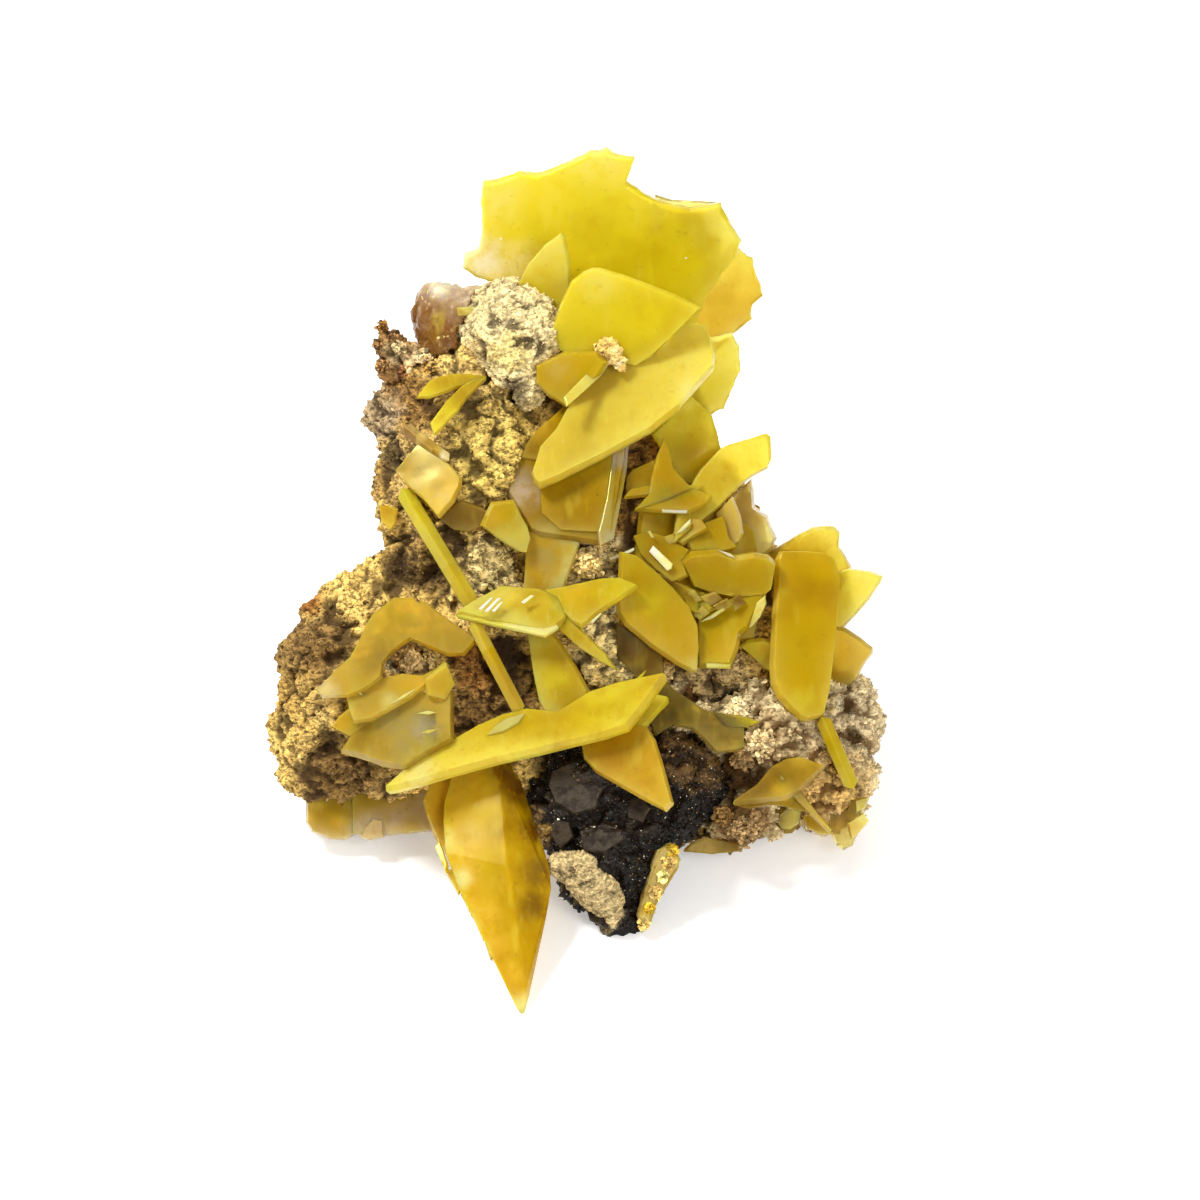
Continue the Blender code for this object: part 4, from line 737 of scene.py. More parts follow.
def new_finish(name):
    """A material with its tree, its shader's inputs and its Object coordinates."""
    made = bpy.data.materials.new(name)
    made.use_nodes = True
    tree = made.node_tree
    point = tree.nodes.new("ShaderNodeTexCoord").outputs["Object"]
    return made, tree, tree.nodes["Principled BSDF"].inputs, point


def attribute(tree, name, output="Fac"):
    """A mesh attribute's value."""
    return add(tree, "ShaderNodeAttribute", None, attribute_name=name).outputs[output]


def relief(tree, shader, height, distance_mm, strength=1.0):
    """Feed a height into the shader's normal."""
    bump = add(tree, "ShaderNodeBump",
               {"Height": height, "Distance": distance_mm * MM, "Strength": strength})
    plug(tree, shader["Normal"], bump.outputs["Normal"])


def fix(shader, values):
    """Set those of the shader's inputs that are the same all over the surface."""
    for name, value in values.items():
        shader[name].default_value = value


# ---------------------------------------------------------------- finishes
# Clouds inside a crystal: their size in mm, the noise's detail and roughness, the span of it in which
# they come up, how much they cover there, their colour, which is "own light", "own deep" or one of the
# palette's, and how the noise is stretched.
Cloud = namedtuple("Cloud", "size detail rough low high cover colour shape")
ROUND, UPRIGHT = (1.0, 1.0, 1.0), (1.9, 0.7, 0.7)
CLOUDS = [
    Cloud(1.7, 4.0, 0.65, 0.48, 0.68, 0.55, "own deep", ROUND),
    Cloud(0.9, 3.0, 0.7, 0.58, 0.74, 0.3, "bronze", ROUND),
    Cloud(1.5, 5.0, 0.7, 0.54, 0.74, 0.6, "own light", UPRIGHT),
    Cloud(3.4, 2.0, 0.5, 0.56, 0.72, 0.35, "butter", UPRIGHT),
]
# Deeper colour towards the middle of a face, from so many millimetres inside its rim.
INNER_SPAN, INNER_COVER = (0.3, 2.4), 0.25
ZONE_WANDER = 0.8
# Darker mottling, mostly at a crystal's deep end.
DENSE_TINT = (0.72, 0.62, 0.16, 1)
DENSE_SPAN = (0.38, 0.72)
DENSE_ENDS, DENSE_COVER = (0.1, 0.9), (0.05, 0.55)
# Which facets turn pale or deep, by their tone, which is painted highlight and shade and a random tone,
# and how strongly they and the rims, with their painted highlight, do so.
PALE_TONES, DEEP_TONES = (-1.0, -0.3), (0.2, 1.0)
FACET_COVER = 0.6
RIM_HIGHLIGHT_COVER = 0.6
CREAM_IN_PALE = 0.4
# Specks in a crystal: (spacing in mm, share, colour); the white ones are painted glints, the brown ones
# dark specks in it.
CRYSTAL_GLINTS_AND_SPECKS = [(2.6, 0.2, "white"), (1.9, 0.10, "brown_amber")]
SPECK_COVER = 0.8
# A face is glossy in some places and hazy in others, with the least relief. The rest is the same all over.
FACE_GLOSS, FACE_HAZE = 0.08, 0.26
FACE_RELIEF, FACE_RELIEF_STRENGTH = 0.01, 0.5
WULFENITE = {
    "Metallic": 0, "IOR": 1.42, "Specular IOR Level": 0.3, "Specular Tint": (1.0, 0.88, 0.35, 1),
    "Subsurface Weight": 0.8, "Subsurface Radius": (1.0, 0.75, 0.12), "Subsurface Scale": 1.6 * MM,
}
# A crystal lets through this many times what its look says, up to a limit.
CLEAR_GAIN, CLEAREST = 1.4, 0.75


def crystal_finish(name, look):
    """Waxy, part-clear wulfenite: zoned colour with clouds in it, facets of many tones painted pale as
    highlight or deep as shade, painted highlight on its rims, and painted glints.
    """
    made, tree, shader, point = new_finish(name + "_finish")
    light, deep = shade(look.light), shade(look.deep)
    pale = tuple((1 - CREAM_IN_PALE) * own + CREAM_IN_PALE * cream
                 for own, cream in zip(light, shade("cream")))
    start, end = on_sheet(*look.light_at), on_sheet(*look.deep_at)
    along = (end - start) / (end - start).length_squared
    zone = use(tree, ZONING, Point=point, From=tuple(start), Along=tuple(along),
               Wander=ZONE_WANDER)["Mask"]
    colour = blended(tree, zone, light, deep)
    for spot_colour, place, radius in look.spots:
        spot = use(tree, SPOT, Point=point, Centre=tuple(on_sheet(*place)), Radius=radius * MM)
        colour = blended(tree, spot["Mask"], colour, shade(spot_colour))
    inner = eased(tree, attribute(tree, "rim_gap"), *INNER_SPAN, 0.0, INNER_COVER)
    colour = blended(tree, inner, colour, deep)
    own = {"own light": light, "own deep": deep}
    for cloud in CLOUDS:
        drawn = point if cloud.shape == ROUND else vector(tree, "MULTIPLY", point, cloud.shape)
        grown = speckle(tree, drawn, cloud.size, cloud.detail, cloud.rough)
        cover = eased(tree, grown, cloud.low, cloud.high, 0.0, cloud.cover)
        colour = blended(tree, cover, colour, own.get(cloud.colour) or shade(cloud.colour))
    mottled = eased(tree, speckle(tree, point, size_mm=3.4, detail=1.0, rough=0.5), *DENSE_SPAN)
    dense = figure(tree, "MULTIPLY", mottled, eased(tree, zone, *DENSE_ENDS, *DENSE_COVER))
    colour = blended(tree, dense, colour, DENSE_TINT, "MULTIPLY")
    # Facets are painted pale as highlight or deep as shade by the way they face, and by chance.
    facet = attribute(tree, "facet")
    colour = blended(tree, eased(tree, facet, *PALE_TONES, FACET_COVER, 0.0), colour, pale)
    colour = blended(tree, eased(tree, facet, *DEEP_TONES, 0.0, FACET_COVER), colour, deep)
    # The rims are painted pale, as highlight.
    rim = figure(tree, "MULTIPLY", attribute(tree, "edge_light"), RIM_HIGHLIGHT_COVER)
    colour = blended(tree, rim, colour, pale)
    # White specks are painted glints; brown ones are dark specks in the crystal.
    for spacing, share, speck_colour in CRYSTAL_GLINTS_AND_SPECKS:
        specks = use(tree, SPECKS, Point=point, Size=spacing, Share=share)["Mask"]
        colour = blended(tree, figure(tree, "MULTIPLY", specks, SPECK_COVER), colour, shade(speck_colour))
    plug(tree, shader["Base Color"], colour)
    face = use(tree, FACE, Point=point, Gloss=FACE_GLOSS, Haze=FACE_HAZE)
    plug(tree, shader["Roughness"], face["Roughness"])
    relief(tree, shader, face["Height"], FACE_RELIEF, FACE_RELIEF_STRENGTH)
    fix(shader, WULFENITE)
    fix(shader, {"Transmission Weight": min(CLEAREST, CLEAR_GAIN * look.clear)})
    return made


# A crust: the size of its grain in mm, the colour of the painted shade in its pits and how much it shows,
# its roughness, its relief in mm, how dark its darkest and how bright its brightest crumbs are, its share
# of painted glints, and its shine.
Crust = namedtuple("Crust", "grain gap_colour gap_share rough relief low high sparkle shine",
                   defaults=(0.45, 1.75, 0.0, 0.25))
CRUSTS = {
    "buff_crust": Crust(0.4, "crust_gap", 0.85, 0.85, 0.25, 0.3, 2.1),
    "pale_crust": Crust(0.32, "crust_gap", 0.55, 0.85, 0.2, 0.7, 1.3, 0.05),
    "knob_crust": Crust(0.36, "crust_gap", 0.5, 0.85, 0.2, 0.8, 1.6, 0.05),
    "ore_crust": Crust(0.45, "dark_cave", 0.6, 0.3, 0.2, sparkle=0.3),
    "druse_crust": Crust(0.45, "druse_pit_shade", 0.5, 0.7, 0.25, 0.6, 1.9, 0.12),
    "pale_grains": Crust(0.45, "druse_pit_shade", 0.4, 0.6, 0.2, 0.7, 1.9, 0.2),
    "strip_grains": Crust(0.45, "bronze", 0.4, 0.4, 0.2, 0.6, 2.0, 0.6),
    "sparkling_crumbs": Crust(0.4, "dark_cave", 0.4, 0.25, 0.1, 0.4, 2.6, 0.3, 0.35),
}
GLINT_SPACING = 1.5
# How the grain's light part brightens the tint, and how hollows darken it with painted shade, at most by
# DARKEST.
CRUMB_SPAN, CRUMB_TONES = (0.3, 0.85), (0.6, 1.2)
HOLLOW_SPAN = (0.15, 0.75)
DARKEST = 0.84
# Pale crumbs are a little glossier than the crust's own roughness, and dark ones rougher.
ROUGH_SPAN, ROUGHER, GLOSSIER = (0.2, 0.9), 0.1, 0.15


def crust_finish(name, crust):
    """Crumbly crust: its painted tint, lighter or darker by crumbs, with painted shade in its pits and
    hollows, and tiny painted glints.
    """
    made, tree, shader, point = new_finish(name)
    grain = use(tree, GRAIN, Point=point, Size=crust.grain)
    light = figure(tree, "MULTIPLY", eased(tree, grain["Light"], *CRUMB_SPAN, *CRUMB_TONES),
                   eased(tree, attribute(tree, "shade"), 0.0, 1.0, crust.low, crust.high))
    lit = add(tree, "ShaderNodeVectorMath", {0: attribute(tree, "tint", "Color"), "Scale": light},
              operation="SCALE").outputs[0]
    hollow = eased(tree, attribute(tree, "hollow"), *HOLLOW_SPAN)
    # The pits and hollows are painted in shade: the pit shade colour is mixed in, at most by DARKEST.
    dark = figure(tree, "MAXIMUM", figure(tree, "MULTIPLY", grain["Gaps"], crust.gap_share), hollow)
    colour = blended(tree, figure(tree, "MULTIPLY", dark, DARKEST), lit, shade(crust.gap_colour))
    # White specks are painted glints.
    glints = use(tree, SPECKS, Point=point, Size=GLINT_SPACING, Share=crust.sparkle)["Mask"]
    plug(tree, shader["Base Color"], blended(tree, glints, colour, shade("white")))
    plug(tree, shader["Roughness"],
         eased(tree, grain["Light"], *ROUGH_SPAN, crust.rough + ROUGHER, crust.rough - GLOSSIER))
    relief(tree, shader, grain["Height"], crust.relief)
    fix(shader, {"Metallic": 0, "Specular IOR Level": crust.shine})
    return made


ORE_PATCHES, ORE_ROUGHNESS = (0.38, 0.66), (0.42, 0.65)
ORE_RELIEF, ORE_SHINE = 0.2, 0.25


def ore_face_finish():
    """Broken faces of the ore: near black, patchy, with a dull metal sheen."""
    made, tree, shader, point = new_finish("ore_face_finish")
    patch = eased(tree, speckle(tree, point, size_mm=1.1, detail=4.0, rough=0.7), *ORE_PATCHES)
    plug(tree, shader["Base Color"], blended(tree, patch, shade("ore_sheen"), shade("dark_cave")))
    plug(tree, shader["Roughness"], eased(tree, patch, 0.0, 1.0, *ORE_ROUGHNESS))
    relief(tree, shader, speckle(tree, point, size_mm=0.5, detail=4.0, rough=0.7), ORE_RELIEF)
    fix(shader, {"Metallic": 0, "Specular IOR Level": ORE_SHINE})
    return made


# ---------------------------------------------------------------- meshes
# A tablet's bevel is this share of the one its table gives, and at most this share of its shortest side.
BEVEL_SHARE, BEVEL_LIMIT = 0.34, 0.8
# The straight rim between the two bevels is this share of the thickness, up to a width.
RIM_SHARE, WIDEST_RIM = 0.2, 0.12 * MM
# A tablet more ragged than SOFT_FROM is soft, and the painted light on its edges fades over a band.
SOFT_FROM = 0.1
SOFT_BAND, SOFT_LIMIT, SOFT_LIGHT = 0.35 * MM, 0.5, 0.6
# Rims longer than NICKED_EDGE are broken into four steps, nicked by noise and by chance.
NICKED_EDGE, NICK_CUTS, NICK_SIZE = 0.8 * MM, 3, 0.9 * MM
NICK_LEAST, NICK_CHANCE = 0.3, 0.4
# Facets turned this way, away from the key lamp, are painted deep as shade, and those turned the other way
# pale as highlight. A face is broad from a share of the whole surface, and chance then changes its tone
# less.
SHADED_SIDE = (RIGHT * 0.75 - UP * 0.65).normalized()
SIDE_SHADE, CHANCE_TONE = 0.6, 1.6
BROAD_FACE, BROAD_TONE = 0.12, 0.7
# Faces are cut by lines MESH_STEP apart, at most MESH_LINES of them each way, and made uneven by swells,
# but for their rims.
MESH_STEP, MESH_LINES = 0.6 * MM, 26
UNEVEN, SWELL_SIZE, LEVEL_RIM = 0.05 * MM, 2.0 * MM, 0.6 * MM
# The least painted light on an edge and on a face's rim, and how far into the face it reaches.
EDGE_LEAST, GLOW_LEAST, GLOW_REACH = 0.3, 0.25, 0.7 * MM
# Creases sharper than this many radians stay crisp.
CREASE = 0.25
# Edges worth a fine bevel: their least length and their least angle, and the bevel.
CRISP_LENGTH, CRISP_ANGLE, CRISP_BEVEL = 0.25 * MM, 0.3, 0.05 * MM
# A blade's bevel as a share of its width, and its bulge forward as a share of its length.
BLADE_BEVEL, BLADE_BULGE = 0.42, 0.05
# Each further point of a gem's ridge is lower by this share, and its edges are rounded.
RIDGE_FALL = 0.2
GEM_ANGLE, GEM_BEVEL, GEM_STEPS = 0.1, 0.5 * MM, 3
# The seeds of the members of one crystal lie this far apart.
SEED_STEP = 0.37

# Corners of a blade seen on its edge: share of its length, share of its reach back, bulge forward.
BLADE_OUTLINE = [(0, 0, 0), (0.3, 0, 1), (0.65, 0, 1), (1, 0, 0), (0.88, 0.6, 0), (0.7, 1, 0),
                 (0.2, 1, 0), (0.04, 0.5, 0)]


def settle(shape, name, finish, replaced=()):
    """Turn a bmesh into a finished piece of the specimen."""
    mesh = bpy.data.meshes.new(name)
    shape.to_mesh(mesh)
    shape.free()
    mesh.materials.append(finish)
    piece = bpy.data.objects.new(name, mesh)
    bpy.context.scene.collection.objects.link(piece)
    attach(piece, "root")
    if replaced:
        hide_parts(*replaced)
    return piece


def on_leaning_plane(member, points):
    """World places of sheet points on the leaning plane of a plate's or a gem's outline."""
    middle = [sum(axis) / len(member.outline) for axis in zip(*member.outline)]
    places = []
    for right, down in points:
        gained = member.lean[0] * (right - middle[0]) - member.lean[1] * (down - middle[1])
        places.append(on_sheet(right, down, member.depth + gained * SHEET_STEP / MM))
    return places


def facing_of(member):
    """The way that a leaning plate or gem faces."""
    return (TOWARDS - RIGHT * member.lean[0] - UP * member.lean[1]).normalized()


def lit_from_below(outward, least):
    """How much painted light an edge holds by the way it lies from its crystal's middle: most at the foot.
    """
    return least + (1 - least) * max(0.0, -outward.normalized().dot(UP))


def close_bevel(shape, edges, width, segments):
    """Round or chamfer edges without letting the new faces run into each other."""
    return bmesh.ops.bevel(shape, geom=edges, offset=width, offset_type="OFFSET", affect="EDGES",
                           segments=segments, profile=0.5, clamp_overlap=True, material=-1)


def shade_and_tone_facets(shape, variety, seed):
    """Give each facet its tone, from -1 for pale to 1 for deep: painted shade and highlight by the way it
    faces, and a random tone by chance.
    """
    chance = random.Random(seed)
    tone = shape.faces.layers.float.new("facet")
    shape.normal_update()
    broad = BROAD_FACE * sum(face.calc_area() for face in shape.faces)
    for face in shape.faces:
        spread = (BROAD_TONE if face.calc_area() > broad else 1.0) * variety * (chance.random() - 0.5)
        face[tone] = min(1.0, max(-1.0, SIDE_SHADE * face.normal.dot(SHADED_SIDE) + spread))


def tablet(places, facing, thick, bevel, ragged, seed, soft):
    """A flat crystal: a narrow rim, slanting edges and two faces; a soft one has rounded-off edges."""
    shape = bmesh.new()
    # Each corner holds its painted edge light, a highlight brightest at the crystal's foot.
    light = shape.verts.layers.float.new("edge_light")
    rim = min(WIDEST_RIM, thick * RIM_SHARE)
    floor = shape.faces.new([shape.verts.new(spot - facing * rim / 2) for spot in places])
    floor.normal_update()
    if floor.normal.dot(facing) > 0:
        floor.normal_flip()
    risen = bmesh.ops.extrude_face_region(shape, geom=[floor])["geom"]
    top = next(item for item in risen if isinstance(item, bmesh.types.BMFace))
    bmesh.ops.translate(shape, vec=facing * rim, verts=list(top.verts))
    bmesh.ops.recalc_face_normals(shape, faces=shape.faces)
    centre = sum((vert.co for vert in shape.verts), Vector()) / len(shape.verts)
    for vert in shape.verts:
        vert[light] = lit_from_below(vert.co - centre, EDGE_LEAST)
    caps = [face for face in shape.faces if abs(face.normal.dot(facing)) > 0.9]
    shortest = min(edge.calc_length() for edge in caps[0].edges)
    bmesh.ops.inset_individual(shape, faces=caps, thickness=min(bevel, BEVEL_LIMIT * shortest),
                               depth=(thick - rim) / 2)
    if soft:
        for cap in caps:
            for vert in cap.verts:
                vert[light] *= SOFT_LIGHT
        bmesh.ops.inset_individual(shape, faces=caps, thickness=min(SOFT_BAND, SOFT_LIMIT * shortest))
        for face in shape.faces:
            face.smooth = True
    for cap in caps:
        for vert in cap.verts:
            vert[light] = 0.0
    shade_and_tone_facets(shape, CHANCE_TONE, seed)
    roughen_rim(shape, facing, ragged, seed)
    return shape


def roughen_rim(shape, facing, ragged, seed):
    """Break a tablet's outline into short steps and nick them."""
    chance = random.Random(seed)
    rims = [edge for edge in shape.edges
            if abs((edge.verts[0].co - edge.verts[1].co).normalized().dot(facing)) < 0.5]
    long_ones = [edge for edge in rims if edge.calc_length() > NICKED_EDGE]
    if ragged <= 0 or not long_ones:
        return
    made = bmesh.ops.subdivide_edges(shape, edges=long_ones, cuts=NICK_CUTS)
    fresh = dict.fromkeys(item for item in made["geom_inner"] if isinstance(item, bmesh.types.BMVert))
    centre = sum((vert.co for vert in shape.verts), Vector()) / len(shape.verts)
    for vert in fresh:
        inward = centre - vert.co
        inward -= facing * inward.dot(facing)
        inward.normalize()
        nick = noise.noise(vert.co / NICK_SIZE + Vector((seed, 0, 0)))
        vert.co += inward * ragged * MM * (nick + NICK_LEAST + NICK_CHANCE * chance.random())


def plate_shape(plate, ragged, seed):
    """A tablet whose outline is drawn as it is seen."""
    return tablet(on_leaning_plane(plate, plate.outline), facing_of(plate), plate.thick * MM,
                  plate.bevel * BEVEL_SHARE * MM, ragged, seed, ragged > SOFT_FROM)


def blade_shape(blade, ragged, seed):
    """A tablet seen on its edge: a sharp front edge from start to end, and a body behind it."""
    start = on_sheet(*blade.start, blade.depths[0])
    end = on_sheet(*blade.end, blade.depths[1])
    along = end - start
    behind = -TOWARDS * (blade.reach * MM)
    bulge = TOWARDS * (BLADE_BULGE * along.length)
    places = [start + along * share + behind * back + bulge * forward
              for share, back, forward in BLADE_OUTLINE]
    facing = along.cross(TOWARDS).normalized()
    return tablet(places, facing, blade.width * MM, blade.width * MM * BLADE_BEVEL, ragged, seed, False)


def gem_shape(gem):
    """A thick crystal with a ridge in front and another behind."""
    facing = facing_of(gem)
    shape = bmesh.new()
    for spot in on_leaning_plane(gem, gem.outline):
        shape.verts.new(spot)
    for number, spot in enumerate(on_leaning_plane(gem, gem.ridge)):
        height = gem.height * MM * (1 - RIDGE_FALL * number)
        shape.verts.new(spot + facing * height)
        shape.verts.new(spot - facing * height)
    hull = bmesh.ops.convex_hull(shape, input=shape.verts)
    inner = [item for item in hull["geom_interior"] if isinstance(item, bmesh.types.BMVert)]
    bmesh.ops.delete(shape, geom=inner, context="VERTS")
    ridges = [edge for edge in shape.edges if edge.is_manifold and edge.calc_face_angle() > GEM_ANGLE]
    for face in close_bevel(shape, ridges, GEM_BEVEL, GEM_STEPS)["faces"]:
        face.smooth = True
    shade_and_tone_facets(shape, 0.0, 0)
    return shape


def joined(shapes):
    """Several bmeshes as one."""
    whole = bmesh.new()
    for shape in shapes:
        step = bpy.data.meshes.new("step")
        shape.to_mesh(step)
        shape.free()
        whole.from_mesh(step)
        bpy.data.meshes.remove(step)
    return whole


def cut_level(shape, height):
    """Cut a closed bmesh flat at a height and close it there."""
    geom = list(shape.verts) + list(shape.edges) + list(shape.faces)
    cut = bmesh.ops.bisect_plane(shape, geom=geom, plane_co=(0, 0, height), plane_no=(0, 0, 1),
                                 clear_inner=True)
    rim = [item for item in cut["geom_cut"] if isinstance(item, bmesh.types.BMEdge)]
    bmesh.ops.triangle_fill(shape, use_beauty=True, edges=rim)


def soften(shape):
    """Take the knife edge off a crisp crystal's corners, so that they catch the light."""
    sharp = [edge for edge in shape.edges if edge.is_manifold
             and edge.calc_length() > CRISP_LENGTH and edge.calc_face_angle() > CRISP_ANGLE]
    close_bevel(shape, sharp, CRISP_BEVEL, 1)


def rim_gaps(places, rim):
    """Distance of each place to a closed outline."""
    along = np.roll(rim, -1, axis=0) - rim
    share = ((places[:, None] - rim) * along).sum(axis=2) / (along ** 2).sum(axis=1)
    gaps = places[:, None] - (rim + np.clip(share, 0, 1)[..., None] * along)
    return np.sqrt((gaps ** 2).sum(axis=2)).min(axis=1)


def grade_faces(shape, seed, soft):
    """Mesh a tablet closely, make its faces gently uneven, and note how near its rim each point is and how
    much painted light it holds.
    """
    broad = max(shape.faces, key=lambda face: face.calc_area())
    facing = broad.normal.copy()
    rim = np.array([vert.co for vert in broad.verts])
    centre = Vector(rim.mean(axis=0))
    side = facing.orthogonal().normalized()
    for axis in (side, facing.cross(side)):
        reach = [vert.co.dot(axis) for vert in shape.verts]
        lines = min(MESH_LINES, int((max(reach) - min(reach)) / MESH_STEP))
        for line in range(1, lines):
            place = axis * (min(reach) + (max(reach) - min(reach)) * line / lines)
            geom = list(shape.verts) + list(shape.edges) + list(shape.faces)
            bmesh.ops.bisect_plane(shape, geom=geom, plane_co=place, plane_no=axis)
    light = shape.verts.layers.float["edge_light"]
    gap = shape.verts.layers.float.new("rim_gap")
    level = centre.dot(facing)
    flat = np.array([vert.co - facing * (vert.co.dot(facing) - level) for vert in shape.verts])
    for vert, near in zip(shape.verts, rim_gaps(flat, rim)):
        vert[gap] = near / MM
        vert[light] = lit_from_below(vert.co - centre, GLOW_LEAST) * math.exp(-near / GLOW_REACH)
        if all(abs(face.normal.dot(facing)) > 0.99 for face in vert.link_faces):
            swell = noise.noise(vert.co / SWELL_SIZE + Vector((seed, 0, 0)))
            vert.co += facing * (swell * UNEVEN * min(1.0, near / LEVEL_RIM))
    for face in shape.faces:
        face.smooth = True
    for edge in shape.edges:
        edge.smooth = soft or not edge.is_manifold or edge.calc_face_angle() < CREASE


def build_crystal(name, crystal, number, replaced=(), finish=None):
    """One named crystal or group of crystals grown together, in its own finish unless it is given one."""
    ragged = crystal.look.ragged
    soft = ragged > SOFT_FROM
    shapes = []
    for place, member in enumerate(crystal.members):
        if isinstance(member, Gem):
            shape = gem_shape(member)
        else:
            cut = blade_shape if isinstance(member, Blade) else plate_shape
            shape = cut(member, ragged, number + SEED_STEP * place)
            if not soft:
                soften(shape)
            grade_faces(shape, number + place, soft)
        if min(vert.co.z for vert in shape.verts) < BASE_HEIGHT:
            bmesh.ops.triangulate(shape, faces=shape.faces)
            cut_level(shape, BASE_HEIGHT)
        shapes.append(shape)
    shape = joined(shapes)
    bmesh.ops.triangulate(shape, faces=shape.faces)
    settle(shape, name + "_crystal", finish or crystal_finish(name, crystal.look),
           replaced)


# ---------------------------------------------------------------- rock
# The relief of a crust, in mm: broad swells, knobs that are flaked and twisted, fine teeth, and cracks
# and pits, which are the hollows.
SWELL_SPAN, KNOB_SPAN, TOOTH_SPAN = 4.4, 1.05, 0.42
TWIST, TWIST_SPAN = 0.7, 0.9
FLAKED = (0.75, 0.8, 1.5)
CRACK_SPAN, CRACK_WIDTH, CRACK_OFFSET, CRACK_SHARE = 3.9, 0.10, Vector((4.4, 1.9, 6.6)), 0.7
PIT_SPAN, PIT_LEVEL, PIT_SLOPE, PIT_OFFSET = 1.6, 0.22, 0.4, Vector((7.1, 3.3, 9.2))
# Hollows are so many times as deep as the knobs are high, up to a limit, and painted so much darker, as
# shade.
HOLLOW_DEPTH, DEEPEST = 1.7, 0.9
HOLLOW_SHADE, DEEPEST_SHADE = 2.4, 1.1
HOLLOW_START, KNOB_SHADE, TOOTH_SHADE = 0.25, 0.45, 0.25
# A cave, painted in shade, goes this many mm into the rock, and is this much more of a hollow, which
# darkens it further.
CAVE_DEPTH, CAVE_HOLLOW = 1.4, 0.35
# Rocks with cells over COARSE_CELL are smoothed more often before their crust is worked in.
COARSE_CELL, COARSE_ROUNDS = 0.28, 4
ROCK_SHADE = 0.55
# The edge of a painted patch: how it wanders, and where and how fast it fades, as shares of its radius.
PATCH_SPAN, PATCH_WANDER, PATCH_END, PATCH_FADE = 1.4 * MM, 0.45, 1.25, 0.6

# A rock: its slot and base colour, the size of its mesh cells in mm, how far its broad swells, its knobs
# and its finest grain stand out and how far the whole crust does, in mm, its finish, and its tints, which
# are (colour, place on the sheet, radius in mm, strength).
Rock = namedtuple("Rock", "slot base cell broad knobs fine lift finish tints")
